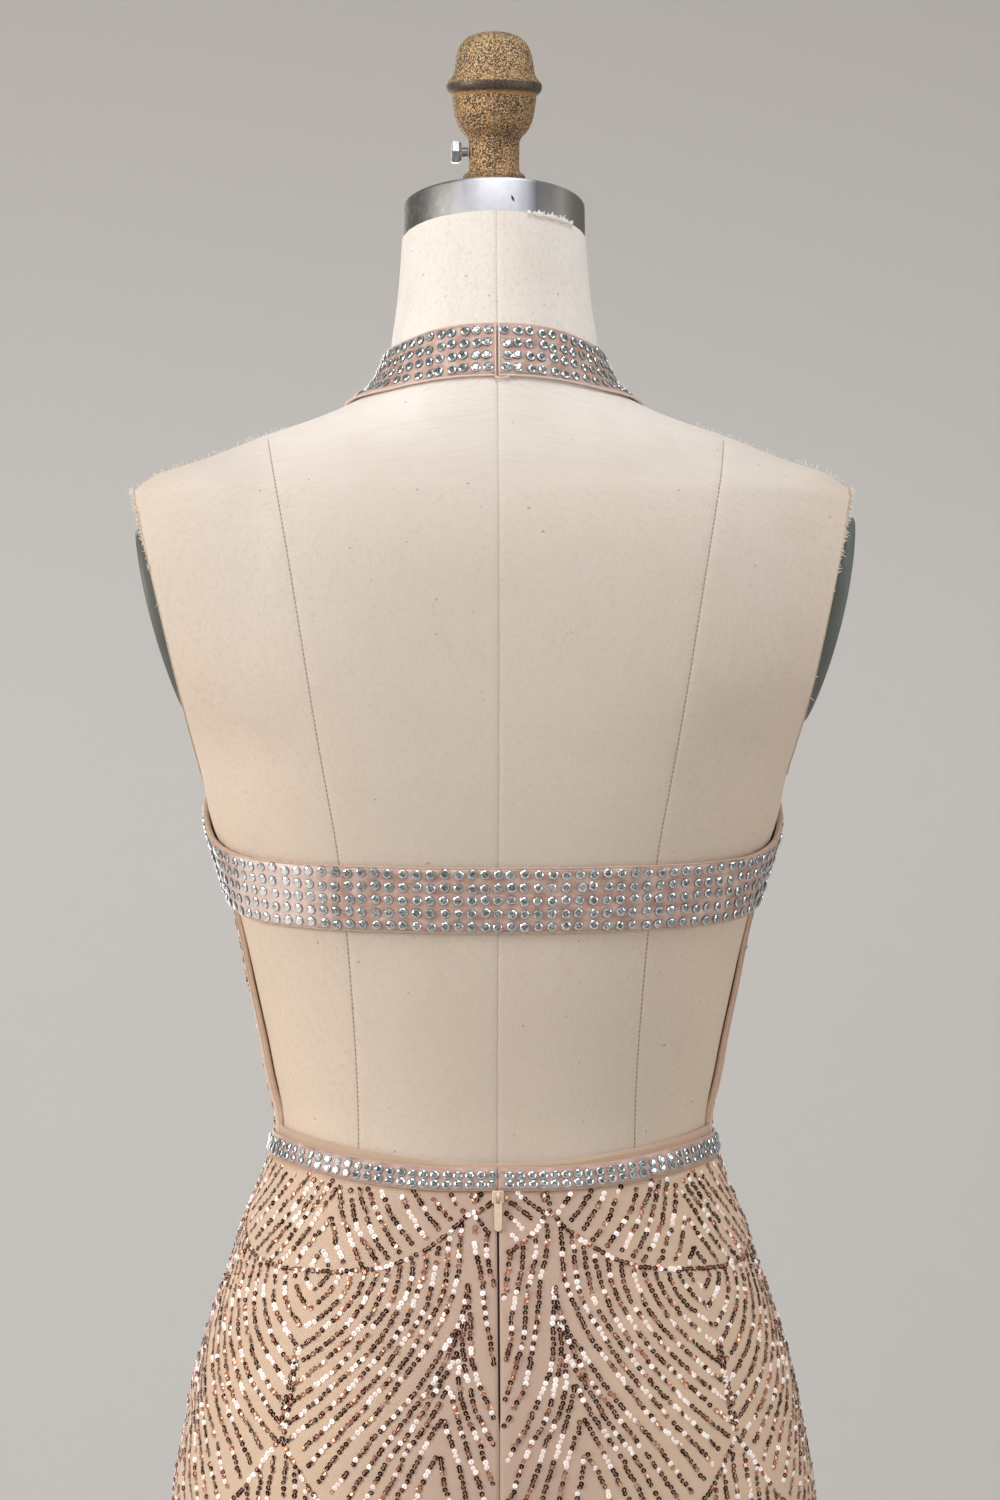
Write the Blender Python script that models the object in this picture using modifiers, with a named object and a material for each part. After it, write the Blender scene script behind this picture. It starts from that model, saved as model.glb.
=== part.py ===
"""Halter mermaid evening gown on a limbless dress form with a neck cap, a finial, a pole and a round base.

Metres, +Z up. The gown's front faces -Y, its open back +Y, and the wearer's left is +X. The origin is the
centre of the base's underside, on the floor. Every piece of cloth is a wall that follows one figure, which
is given by level sections. A place on the figure is an angle, from centre back towards +X, and a height.
"""

from math import cos, pi, radians, sin, tan

import bmesh
import bpy
import numpy as np
from mathutils import Matrix, Vector

# ---- Driving dimensions -------------------------------------------------------------------------------

GAP = 0.0003  # between pieces that meet
SEAM = 0.00015  # half the gap at a seam

CLEARANCE = 0.0012  # from the form to the cloth
BODICE_LIFT = 0.0003  # more for the bodice, which crosses deeper hollows
WALL = 0.0012  # thickness of a gown panel
BAND_WALL = 0.0012  # thickness of a stone band
BAND_LIFT = 0.0006  # from a panel to the waist band on it

HEM_HEIGHT = 0.010
TORSO_BOTTOM = 0.800
NECK_TOP = 1.5805
NECK_TILT = radians(14)  # the neck's top leans forwards
NECK_TILT_STARTS = 1.530

WAIST_HEIGHT = 1.0770  # waist seam at the sides
WAIST_DIP_BACK = 0.0160
WAIST_DIP_FRONT = 0.0060
WAIST_BAND_WIDTH = 0.0120
FACING_SHOWS = 0.0048  # facing above the waist band, at the back

# Level sections, from the hem to the neck: half_width is across, back and front are where centre back
# and centre front lie, middle is the y of the widest line, and squareness is the superellipse's power.
FIGURE_COLUMNS = ("height", "half_width", "back", "front", "middle", "squareness")
FIGURE = (
    (0.010, 0.3550, 0.3600, -0.3500, 0.0000, 2.00),
    (0.070, 0.3220, 0.3270, -0.3180, 0.0000, 2.00),
    (0.140, 0.2760, 0.2800, -0.2700, 0.0000, 2.00),
    (0.210, 0.2310, 0.2320, -0.2240, 0.0000, 2.00),
    (0.280, 0.1890, 0.1860, -0.1800, 0.0000, 2.00),
    (0.340, 0.1600, 0.1520, -0.1480, 0.0000, 2.05),
    (0.400, 0.1430, 0.1290, -0.1280, 0.0000, 2.10),
    (0.460, 0.1370, 0.1180, -0.1190, 0.0000, 2.15),
    (0.540, 0.1425, 0.1150, -0.1190, 0.0000, 2.20),
    (0.640, 0.1550, 0.1170, -0.1200, 0.0000, 2.25),
    (0.740, 0.1680, 0.1210, -0.1210, 0.0000, 2.30),
    (0.820, 0.1755, 0.1245, -0.1200, 0.0000, 2.30),
    (0.887, 0.1760, 0.1240, -0.1180, 0.0000, 2.30),
    (0.921, 0.1700, 0.1195, -0.1165, 0.0000, 2.30),
    (0.943, 0.1660, 0.1145, -0.1150, 0.0000, 2.30),
    (0.966, 0.1600, 0.1080, -0.1130, 0.0000, 2.30),
    (0.988, 0.1530, 0.1010, -0.1105, 0.0000, 2.30),
    (1.010, 0.1450, 0.0935, -0.1080, -0.0010, 2.30),
    (1.033, 0.1380, 0.0862, -0.1045, -0.0020, 2.30),
    (1.055, 0.1286, 0.0800, -0.1010, -0.0030, 2.30),
    (1.080, 0.1205, 0.0765, -0.0985, -0.0040, 2.30),
    (1.122, 0.1255, 0.0790, -0.0985, -0.0040, 2.30),
    (1.167, 0.1340, 0.0870, -0.1020, -0.0020, 2.35),
    (1.212, 0.1445, 0.0960, -0.1090, 0.0000, 2.40),
    (1.257, 0.1580, 0.1030, -0.1160, 0.0020, 2.40),
    (1.302, 0.1710, 0.1070, -0.1180, 0.0060, 2.50),
    (1.318, 0.1830, 0.1080, -0.1145, 0.0080, 2.50),
    (1.335, 0.1970, 0.1085, -0.1100, 0.0100, 2.50),
    (1.360, 0.2090, 0.1085, -0.1035, 0.0110, 2.50),
    (1.385, 0.2150, 0.1075, -0.0955, 0.0120, 2.45),
    (1.410, 0.2160, 0.1050, -0.0855, 0.0130, 2.40),
    (1.430, 0.2120, 0.1015, -0.0745, 0.0150, 2.30),
    (1.443, 0.2035, 0.0985, -0.0675, 0.0160, 2.20),
    (1.4475, 0.1930, 0.0965, -0.0640, 0.0170, 2.10),
    (1.458, 0.1610, 0.0925, -0.0575, 0.0180, 2.00),
    (1.470, 0.1300, 0.0880, -0.0515, 0.0190, 2.00),
    (1.481, 0.0980, 0.0840, -0.0480, 0.0190, 2.00),
    (1.492, 0.0740, 0.0800, -0.0465, 0.0180, 2.00),
    (1.510, 0.0605, 0.0735, -0.0470, 0.0145, 2.00),
    (1.530, 0.0565, 0.0670, -0.0485, 0.0100, 2.00),
    (1.548, 0.0540, 0.0610, -0.0500, 0.0055, 2.00),
    (1.565, 0.0525, 0.0560, -0.0512, 0.0020, 2.00),
    (1.5805, 0.0515, 0.0520, -0.0520, 0.0000, 2.00),
)

# The bust: two soft mounds on the front.
BUST_APART = 0.088  # from the centre line
BUST_HEIGHT = 1.284
BUST_DEPTH = 0.034
BUST_ACROSS = 0.060
BUST_ABOVE = 0.075
BUST_BELOW = 0.050

# Armholes: each side of the torso is cut flat by a leaning plane and carries an oval plate.
ARM_PLANE_X = 0.2010
ARM_PLANE_Z = 1.443
ARM_PLANE_LEAN = radians(13.2)
ARM_PLATE_HEIGHT = 0.110
ARM_PLATE_DEPTH = 0.080
ARM_PLATE_WALL = 0.0048
ARM_PLATE_Z = 1.3715
ARM_PLATE_Y = 0.011

# Flutes of the flared hem: where each stands, how far out, how wide it is to each side and where it ends.
FLUTE_COLUMNS = ("angle_deg", "depth", "spread_deg", "top")
FLUTES = (
    (0, 0.034, 15, 0.450),
    (31, 0.040, 16, 0.470),
    (59, 0.036, 15, 0.440),
    (90, 0.038, 16, 0.455),
    (121, 0.033, 15, 0.430),
    (149, 0.039, 16, 0.465),
    (180, 0.035, 15, 0.445),
    (212, 0.040, 16, 0.460),
    (240, 0.034, 15, 0.430),
    (270, 0.038, 16, 0.455),
    (299, 0.036, 15, 0.440),
    (331, 0.039, 16, 0.465),
)
SKIRT_ROWS = (
    1.057, 1.040, 1.020, 1.000, 0.975, 0.945, 0.915, 0.888, 0.850, 0.800,
    0.700, 0.600, 0.500, 0.430, 0.370, 0.310, 0.240, 0.165, 0.090, HEM_HEIGHT,
)  # fmt: skip
FRONT_COLUMNS = 36
BACK_COLUMNS = 18

# Heights of the torso's rings above its rounded bottom. The lower ones are the skirt's own rows.
TORSO_RINGS = (
    0.814, 0.850, 0.888, 0.915, 0.945, 0.975, 1.000, 1.020, 1.040, 1.057, 1.068, 1.079, 1.092, 1.110,
    1.135, 1.165, 1.195, 1.225, 1.250, 1.272, 1.292, 1.312, 1.330, 1.350, 1.372, 1.395, 1.415, 1.430,
    1.440, 1.447, 1.4525, 1.458, 1.464, 1.470, 1.476, 1.482, 1.488, 1.494, 1.501, 1.510, 1.522, 1.536,
    1.552, 1.567, NECK_TOP,
)  # fmt: skip
TORSO_COLUMNS = 32

# The stone bands' middle line on the +X side: from centre back of the neck, forwards round it, down the
# front armhole edge to the side, and across the back under the shoulder blades.
BAND_PATH_COLUMNS = ("angle_deg", "height", "width", "out")
BAND_PATH = (
    (0, 1.5148, 0.0305, 0.0012),
    (10, 1.5147, 0.0305, 0.0012),
    (30, 1.5128, 0.0305, 0.0012),
    (60, 1.5068, 0.0305, 0.0012),
    (90, 1.5022, 0.0310, 0.0012),
    (110, 1.4955, 0.0310, 0.0016),
    (124, 1.4825, 0.0315, 0.0026),
    (134, 1.4660, 0.0320, 0.0035),
    (140, 1.4400, 0.0325, 0.0036),
    (141.5, 1.4050, 0.0330, 0.0036),
    (138, 1.3650, 0.0335, 0.0036),
    (130, 1.3250, 0.0340, 0.0036),
    (118, 1.2880, 0.0345, 0.0035),
    (104, 1.2575, 0.0350, 0.0034),
    (90, 1.2360, 0.0355, 0.0033),
    (75, 1.2235, 0.0355, 0.0029),
    (60, 1.2180, 0.0355, 0.0016),
    (30, 1.2150, 0.0353, 0.0012),
    (0, 1.2144, 0.0353, 0.0012),
)
SIDE_JOINT_DEG = 84  # where the back strap is joined on
BAND_ROWS = 3
HALTER_STEPS = 38
STRAP_STEPS = 26
NECK_SLIT = 0.0005  # half the opening at centre back
HOOK_WIRE = 0.0006  # radius
HOOK_PLACES = ((-0.0060, 0.0), (-0.0042, 0.0005), (-0.0022, 0.0008), (-0.0004, 0.0005), (0.0015, 0.0))

# Front bodice, +X half: its outer edge goes up the side and the armhole, its inner edge up centre front
# and the neckline. A row of the cloth runs from a place on one to the place at the same share of the other.
EDGE_COLUMNS = ("share", "angle_deg", "height")
WAIST_EDGE_DEG = 80
BODICE_OUTER = (
    (0.16, 81, 1.115),
    (0.33, 83.5, 1.165),
    (0.50, 88, 1.222),
    (0.62, 104, 1.2575),
    (0.72, 118, 1.288),
    (0.80, 130, 1.325),
    (0.88, 138, 1.365),
    (0.94, 141.5, 1.405),
    (1.00, 140, 1.440),
)
NECKLINE_POINT = 0.62  # share at which the neckline leaves centre front
BODICE_INNER = (
    (0.16, 180, 1.125),
    (0.33, 180, 1.185),
    (0.50, 180, 1.245),
    (NECKLINE_POINT, 180, 1.300),
    (0.72, 176.5, 1.330),
    (0.80, 172.5, 1.360),
    (0.88, 166.5, 1.395),
    (0.94, 160, 1.422),
    (1.00, 152, 1.452),
)
BODICE_COLUMNS = 11
BODICE_ROWS = 20
SIDE_STAND_OFF = 0.0012  # the side edge stands a little off the form
BRIDGE = 0.45  # how far the cloth fills the hollow between the mounds

# The zip at centre back.
ZIP_END = 0.9256
ZIP_OPENING = 0.0008  # half the space between the back panels along the zip
ZIP_ALLOWANCE = 0.0016  # the cloth stands out by this much over the tape
ZIP_SPREAD = 0.0220
TAPE_WIDTH = 0.0200
TAPE_WALL = 0.0010
TAPE_OUT = 0.0009
SLIDER_WIDTH = 0.0066
SLIDER_LENGTH = 0.0070
SLIDER_WALL = 0.0022
ARCH_LENGTH = 0.0062
ARCH_HEIGHT = 0.0030
ARCH_BAR = 0.0010
ARCH_WIDTH = 0.0015
PULL_LENGTH = 0.0190
PULL_WIDTH = 0.0043
PULL_WALL = 0.0009
PULL_EYE_WIDTH = 0.0023
PULL_EYE_END = 0.0040
PULL_AXIS = 0.00095  # height of the hinge line over the slider's face
PULL_LEAN = radians(4.5)  # the tab hangs in towards the cloth

# Neck cap, finial and its set bolt.
CAP_RADIUS = 0.0510
CAP_HEIGHT = 0.0205
FINIAL_PROFILE = (
    (0.0000, 1.6980), (0.0085, 1.6975), (0.0150, 1.6950), (0.0196, 1.6900), (0.0216, 1.6830),
    (0.0229, 1.6740), (0.0250, 1.6708), (0.0268, 1.6690), (0.0270, 1.6665), (0.0262, 1.6640),
    (0.0236, 1.6625), (0.0234, 1.6580), (0.0222, 1.6500), (0.0192, 1.6430), (0.0150, 1.6385),
    (0.0142, 1.6360), (0.0141, 1.6235), (0.0150, 1.6215), (0.0178, 1.6200), (0.0178, 1.5850),
)  # fmt: skip
BOLT_Z = 1.6307
BOLT_HEAD_FROM = 0.0202
BOLT_HEAD_LENGTH = 0.0047
BOLT_HEAD_ACROSS = 0.0124
BOLT_SHANK_RADIUS = 0.0030

# The stand under the torso.
BASE_RADIUS = 0.190
BASE_EDGE = 0.010
SOCKET_RADIUS = 0.027
SOCKET_TOP = 0.070
POLE_RADIUS = 0.016
TURNED_STEPS = 24


# ---- The figure ---------------------------------------------------------------------------------------


def column(rows, names, name):
    """One column of a table as an array."""
    return np.array([row[names.index(name)] for row in rows], float)


def smooth(x, knots, values):
    """Cubic curve through the values at the knots, held level past both ends."""
    x = np.clip(np.asarray(x, float), knots[0], knots[-1])
    slopes = np.gradient(values, knots)
    left = np.clip(np.searchsorted(knots, x, side="right") - 1, 0, len(knots) - 2)
    span = knots[left + 1] - knots[left]
    t = (x - knots[left]) / span
    near = values[left] * (1 + 2 * t) * (1 - t) ** 2 + slopes[left] * span * t * (1 - t) ** 2
    far = values[left + 1] * t**2 * (3 - 2 * t) + slopes[left + 1] * span * t**2 * (t - 1)
    return near + far


def ease(t):
    """From 0 to 1 with level ends."""
    t = np.clip(t, 0, 1)
    return t * t * (3 - 2 * t)


HEIGHTS = column(FIGURE, FIGURE_COLUMNS, "height")


def section(height, name):
    return smooth(height, HEIGHTS, column(FIGURE, FIGURE_COLUMNS, name))


def bust(x, height, bridge):
    """How far the front stands out over the mounds. bridge fills the hollow between them."""
    beyond = np.abs(x) - BUST_APART
    reach = np.where(height > BUST_HEIGHT, BUST_ABOVE, BUST_BELOW)
    upright = np.exp(-(((height - BUST_HEIGHT) / reach) ** 2))
    across = np.exp(-((beyond / BUST_ACROSS) ** 2))
    filled = np.where(beyond < 0, np.maximum(across, across + bridge * (1 - across)), across)
    return BUST_DEPTH * upright * filled


def flutes(angle, height):
    """How far the flared skirt stands out in its flutes."""
    total = np.zeros(np.broadcast(angle, height).shape)
    for row in FLUTES:
        flute = dict(zip(FLUTE_COLUMNS, row))
        turn = np.abs((angle - radians(flute["angle_deg"]) + pi) % (2 * pi) - pi)
        lobe = np.cos(np.minimum(turn / radians(flute["spread_deg"]), 1) * pi / 2) ** 2
        fall = ease((flute["top"] - height) / (flute["top"] - HEM_HEIGHT))
        total = total + flute["depth"] * lobe * fall**1.3
    return total


def figure(angle, height, bridge=0.0):
    """Points of the figure's skin, as arrays that end in x, y, z."""
    angle, height = np.broadcast_arrays(np.asarray(angle, float), np.asarray(height, float))
    middle = section(height, "middle")
    behind = np.cos(angle) > 0
    depth = np.where(behind, section(height, "back") - middle, middle - section(height, "front"))
    power = section(height, "squareness")
    across = np.abs(np.sin(angle)) / section(height, "half_width")
    along = np.abs(np.cos(angle)) / depth
    radius = (across**power + along**power) ** (-1 / power) + flutes(angle, height)
    x = radius * np.sin(angle)
    y = middle + radius * np.cos(angle)
    y = y - bust(x, height, bridge) * ease(-np.cos(angle) / 0.45)
    lean = ease((height - NECK_TILT_STARTS) / (NECK_TOP - NECK_TILT_STARTS))
    return np.stack([x, y, height + lean * tan(NECK_TILT) * y], axis=-1)


def unit(vectors):
    return vectors / np.linalg.norm(vectors, axis=-1, keepdims=True)


def outward(angle, height, bridge=0.0):
    """Unit normals of the figure's skin."""
    turn, rise = 0.02, 0.003
    around = figure(angle + turn, height, bridge) - figure(angle - turn, height, bridge)
    up = figure(angle, height + rise, bridge) - figure(angle, height - rise, bridge)
    return unit(np.cross(up, around))


def cloth(angle, height, out, bridge=BRIDGE):
    """Points that stand out from the figure by a distance."""
    normals = outward(angle, height, bridge)
    return figure(angle, height, bridge) + np.asarray(out)[..., None] * normals


def angle_of(points):
    """The angle at which the figure's skin is met by points near it."""
    return np.arctan2(points[..., 0], points[..., 1] - section(points[..., 2], "middle"))


def waist(angle):
    """Height of the waist seam: it dips at centre back and centre front."""
    back = np.where(np.cos(angle) > 0, 1 - np.sin(angle) ** 4, 0)
    front = np.clip(-np.cos(angle), 0, 1) ** 2
    return WAIST_HEIGHT - WAIST_DIP_BACK * back - WAIST_DIP_FRONT * front


# ---- Making objects -----------------------------------------------------------------------------------


def clear_scene():
    for item in list(bpy.data.objects):
        bpy.data.objects.remove(item, do_unlink=True)


def new_collection(name):
    made = bpy.data.collections.new(name)
    bpy.context.scene.collection.children.link(made)
    return made


def material(name, colour, roughness, metallic=0.0):
    made = bpy.data.materials.new(name)
    made.use_nodes = True
    shader = made.node_tree.nodes["Principled BSDF"]
    shader.inputs["Base Color"].default_value = (*colour, 1.0)
    shader.inputs["Roughness"].default_value = roughness
    shader.inputs["Metallic"].default_value = metallic
    return made


def add(name, mesh, finish, home):
    """A named object for the mesh, with its material."""
    item = bpy.data.objects.new(name, mesh)
    home.objects.link(item)
    mesh.materials.append(finish)
    return item


def grid_mesh(name, points, close=False):
    """A sheet of quads over rows and columns of points. close joins the last column to the first."""
    rows, columns = points.shape[:2]
    shell = bmesh.new()
    spots = [[shell.verts.new(spot) for spot in row] for row in points]
    for low, high in zip(spots, spots[1:]):
        for i in range(columns if close else columns - 1):
            j = (i + 1) % columns
            shell.faces.new((low[i], low[j], high[j], high[i]))
    mesh = bpy.data.meshes.new(name)
    shell.to_mesh(mesh)
    shell.free()
    mesh.shade_smooth()
    return mesh


def faced_out(points):
    """The same rows with each run of columns turned so that the sheet's faces look outwards."""
    middle = ((points.shape[0] - 1) // 2, (points.shape[1] - 1) // 2)
    here = points[middle]
    across = points[middle[0], middle[1] + 1] - here
    up = points[middle[0] + 1, middle[1]] - here
    outwards = np.cross(across, up) @ np.array([here[0], here[1], 0.0]) > 0
    return points if outwards else points[:, ::-1]


def thicken(item, wall):
    """Cloth: the sheet keeps its inner face and grows outwards."""
    shell = item.modifiers.new("wall", "SOLIDIFY")
    shell.thickness = wall
    shell.offset = 1.0
    shell.use_even_offset = False


def cloth_object(name, points, wall, finish, home):
    item = add(name, grid_mesh(name, faced_out(points)), finish, home)
    thicken(item, wall)
    return item


def turned(name, profile, finish, home, steps=TURNED_STEPS):
    """A profile of (radius, height) from top to bottom, turned about Z and closed on the axis."""
    mesh = bpy.data.meshes.new(name)
    spots = [(radius, 0.0, height) for radius, height in profile]
    mesh.from_pydata(spots, [(i, i + 1) for i in range(len(spots) - 1)], [])
    item = add(name, mesh, finish, home)
    screw = item.modifiers.new("turn", "SCREW")
    screw.steps = screw.render_steps = steps
    screw.use_merge_vertices = True
    screw.merge_threshold = 0.00005
    return item


def boolean(item, other, operation):
    cut = item.modifiers.new(operation.lower(), "BOOLEAN")
    cut.operation = operation
    cut.object = other
    other.hide_render = True
    other.display_type = "WIRE"


def block(name, size, finish, home):
    """A box about its own middle, with its scale applied."""
    shape = bmesh.new()
    bmesh.ops.create_cube(shape, size=1.0)
    bmesh.ops.scale(shape, vec=size, verts=shape.verts)
    mesh = bpy.data.meshes.new(name)
    shape.to_mesh(mesh)
    shape.free()
    return add(name, mesh, finish, home)


def outline(name, loops, thickness, finish, home):
    """A flat piece in its own XY plane: a 2D curve with holes, extruded by its thickness about the plane."""
    curve = bpy.data.curves.new(name, "CURVE")
    curve.dimensions = "2D"
    curve.fill_mode = "BOTH"
    curve.extrude = thickness / 2
    for loop in loops:
        spline = curve.splines.new("POLY")
        spline.points.add(len(loop) - 1)
        for point, (x, y) in zip(spline.points, loop):
            point.co = (x, y, 0.0, 1.0)
        spline.use_cyclic_u = True
    item = bpy.data.objects.new(name, curve)
    home.objects.link(item)
    curve.materials.append(finish)
    return item


def as_mesh(item):
    """The curve object as a welded mesh object of the same name and place."""
    graph = bpy.context.evaluated_depsgraph_get()
    mesh = bpy.data.meshes.new_from_object(item.evaluated_get(graph))
    shape = bmesh.new()
    shape.from_mesh(mesh)
    bmesh.ops.remove_doubles(shape, verts=shape.verts, dist=0.000001)
    bmesh.ops.recalc_face_normals(shape, faces=shape.faces)
    shape.to_mesh(mesh)
    shape.free()
    name, home, place = item.name, item.users_collection[0], item.matrix_world.copy()
    bpy.data.objects.remove(item, do_unlink=True)
    made = bpy.data.objects.new(name, mesh)
    made.matrix_world = place
    home.objects.link(made)
    return made


def arc(centre, radius, start, end, steps):
    """Points along an arc, in degrees."""
    turns = np.radians(np.linspace(start, end, steps))
    return [(centre[0] + radius * cos(t), centre[1] + radius * sin(t)) for t in turns]


# ---- Dress form ---------------------------------------------------------------------------------------


def torso(finish, home, cutters):
    """The limbless body, closed below the hips, with a flat leaning cut at each armhole."""
    heights = np.array(TORSO_RINGS)
    angles = np.linspace(0, 2 * pi, TORSO_COLUMNS, endpoint=False)
    rings = figure(angles[None, :], heights[:, None])
    rounding = []
    for shrink, drop in ((0.955, 0.0140), (0.990, 0.0085)):
        ring = rings[0] * np.array([shrink, shrink, 1.0])
        rounding.append(ring - np.array([0.0, 0.0, drop]))
    points = np.concatenate([np.array(rounding), rings])
    mesh = grid_mesh("form_torso", points[:, ::-1], close=True)
    shell = bmesh.new()
    shell.from_mesh(mesh)
    bmesh.ops.holes_fill(shell, edges=[e for e in shell.edges if e.is_boundary], sides=0)
    bmesh.ops.recalc_face_normals(shell, faces=shell.faces)
    shell.to_mesh(mesh)
    shell.free()
    item = add("form_torso", mesh, finish, home)
    for side in (1, -1):
        cutter = block(f"armhole_cutter_{side}", (0.1, 0.4, 0.4), finish, cutters)
        cutter.rotation_euler = (0.0, side * ARM_PLANE_LEAN, 0.0)
        normal = Vector((side * cos(ARM_PLANE_LEAN), 0.0, -sin(ARM_PLANE_LEAN)))
        cutter.location = Vector((side * ARM_PLANE_X, 0.0, ARM_PLANE_Z)) + normal * 0.05
        boolean(item, cutter, "DIFFERENCE")
    return item


def arm_plate(side, finish, home):
    """An oval plate on the armhole's flat cut, with softened edges."""
    name = "arm_plate_left" if side > 0 else "arm_plate_right"
    shape = bmesh.new()
    bmesh.ops.create_cone(
        shape, cap_ends=True, segments=28, radius1=0.5, radius2=0.5, depth=ARM_PLATE_WALL
    )
    bmesh.ops.scale(shape, vec=(ARM_PLATE_HEIGHT, ARM_PLATE_DEPTH, 1.0), verts=shape.verts)
    mesh = bpy.data.meshes.new(name)
    shape.to_mesh(mesh)
    shape.free()
    item = add(name, mesh, finish, home)
    drop = ARM_PLANE_Z - ARM_PLATE_Z
    seat = Vector((side * (ARM_PLANE_X - drop * tan(ARM_PLANE_LEAN)), ARM_PLATE_Y, ARM_PLATE_Z))
    normal = Vector((side * cos(ARM_PLANE_LEAN), 0.0, -sin(ARM_PLANE_LEAN)))
    item.location = seat + normal * (GAP + ARM_PLATE_WALL / 2)
    item.rotation_euler = (0.0, side * (pi / 2 + ARM_PLANE_LEAN), 0.0)
    edge = item.modifiers.new("edge", "BEVEL")
    edge.width = 0.0012
    edge.segments = 1
    edge.limit_method = "ANGLE"
    return item


def neck_cap(finish, home):
    """The round metal cap on the neck's leaning top."""
    rim = 0.0012
    profile = [(0.0, CAP_HEIGHT)]
    profile += [(CAP_RADIUS - rim, CAP_HEIGHT), (CAP_RADIUS - rim * 0.3, CAP_HEIGHT - rim * 0.3)]
    profile += [(CAP_RADIUS, CAP_HEIGHT - rim), (CAP_RADIUS, 0.0), (0.0, 0.0)]
    item = turned("neck_cap", profile, finish, home, steps=36)
    normal = Vector((0.0, -sin(NECK_TILT), cos(NECK_TILT)))
    item.location = Vector((0.0, 0.0, NECK_TOP)) + normal * GAP
    item.rotation_euler = (NECK_TILT, 0.0, 0.0)
    return item


def finial(finish, home, cutters):
    """The cast knob, upright, with its foot cut to the cap's slope."""
    item = turned("neck_finial", (*FINIAL_PROFILE, (0.0, FINIAL_PROFILE[-1][1])), finish, home)
    cutter = block("finial_foot_cutter", (0.2, 0.2, 0.1), finish, cutters)
    normal = Vector((0.0, -sin(NECK_TILT), cos(NECK_TILT)))
    top = Vector((0.0, 0.0, NECK_TOP)) + normal * (CAP_HEIGHT + 2 * GAP)
    cutter.location = top - normal * 0.05
    cutter.rotation_euler = (NECK_TILT, 0.0, 0.0)
    boolean(item, cutter, "DIFFERENCE")
    return item


def set_bolt(finish, home):
    """The hexagon bolt that holds the finial, its head clear of the stem."""
    stem = 0.0142 + GAP
    shape = bmesh.new()
    across_corners = BOLT_HEAD_ACROSS / cos(pi / 6)
    bmesh.ops.create_cone(
        shape, cap_ends=True, segments=6, radius1=across_corners / 2, radius2=across_corners / 2,
        depth=BOLT_HEAD_LENGTH,
    )  # fmt: skip
    bmesh.ops.translate(shape, vec=(0, 0, BOLT_HEAD_FROM + BOLT_HEAD_LENGTH / 2), verts=shape.verts)
    mesh = bpy.data.meshes.new("set_bolt")
    shape.to_mesh(mesh)
    shape.free()
    item = add("set_bolt", mesh, finish, home)
    shank_length = BOLT_HEAD_FROM - stem + 0.001
    shape = bmesh.new()
    bmesh.ops.create_cone(
        shape, cap_ends=True, segments=16, radius1=BOLT_SHANK_RADIUS, radius2=BOLT_SHANK_RADIUS,
        depth=shank_length,
    )  # fmt: skip
    bmesh.ops.translate(shape, vec=(0, 0, stem + shank_length / 2), verts=shape.verts)
    shank_mesh = bpy.data.meshes.new("set_bolt_shank")
    shape.to_mesh(shank_mesh)
    shape.free()
    shank = add("set_bolt_shank", shank_mesh, finish, home)
    for piece in (item, shank):
        piece.rotation_euler = (0.0, pi / 2, 0.0)
        piece.location = (0.0, 0.0, BOLT_Z)
    boolean(item, shank, "UNION")
    return item


def stand(finish_pole, finish_base, home):
    """The pole under the torso and the round base on the floor."""
    pole_top = TORSO_BOTTOM - GAP
    pole_bottom = SOCKET_TOP + GAP
    profile = [(0.0, pole_top), (POLE_RADIUS, pole_top), (POLE_RADIUS, pole_bottom), (0.0, pole_bottom)]
    turned("stand_pole", profile, finish_pole, home, steps=28)
    profile = [
        (0.0, SOCKET_TOP), (SOCKET_RADIUS - 0.002, SOCKET_TOP), (SOCKET_RADIUS, SOCKET_TOP - 0.002),
        (SOCKET_RADIUS, 0.038), (0.034, 0.028), (0.060, 0.021), (0.120, 0.016),
        (BASE_RADIUS - 0.012, 0.0130), (BASE_RADIUS - 0.003, BASE_EDGE + 0.0005),
        (BASE_RADIUS, BASE_EDGE - 0.003), (BASE_RADIUS, 0.0), (0.0, 0.0),
    ]  # fmt: skip
    turned("stand_base", profile, finish_base, home, steps=40)


# ---- Stone bands --------------------------------------------------------------------------------------


def band_line():
    """The path's columns against the distance run along it."""
    angles = np.radians(column(BAND_PATH, BAND_PATH_COLUMNS, "angle_deg"))
    heights = column(BAND_PATH, BAND_PATH_COLUMNS, "height")
    spots = figure(angles, heights)
    run = np.concatenate([[0.0], np.cumsum(np.linalg.norm(np.diff(spots, axis=0), axis=1))])
    widths = column(BAND_PATH, BAND_PATH_COLUMNS, "width")
    lifts = column(BAND_PATH, BAND_PATH_COLUMNS, "out")
    return run, angles, heights, widths, lifts


def band_points(distances, side, across=None, out=None):
    """Rows across the band and columns along it, on the figure's skin moved out."""
    run, angles, heights, widths, lifts = band_line()
    across = np.linspace(-0.5, 0.5, BAND_ROWS + 1) if across is None else np.asarray(across)
    angle, height = smooth(distances, run, angles), smooth(distances, run, heights)
    width = smooth(distances, run, widths)[None, :, None]
    out = smooth(distances, run, lifts) if out is None else out
    middle = figure(angle, height, BRIDGE)
    step = 0.002
    ahead = figure(smooth(distances + step, run, angles), smooth(distances + step, run, heights), BRIDGE)
    behind = figure(smooth(distances - step, run, angles), smooth(distances - step, run, heights), BRIDGE)
    sideways = unit(np.cross(outward(angle, height, BRIDGE), ahead - behind))
    guess = middle[None] + across[:, None, None] * width * sideways[None]
    points = cloth(angle_of(guess), guess[..., 2], np.broadcast_to(out, guess.shape[:2]))
    return points * np.array([side, 1.0, 1.0])


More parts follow.
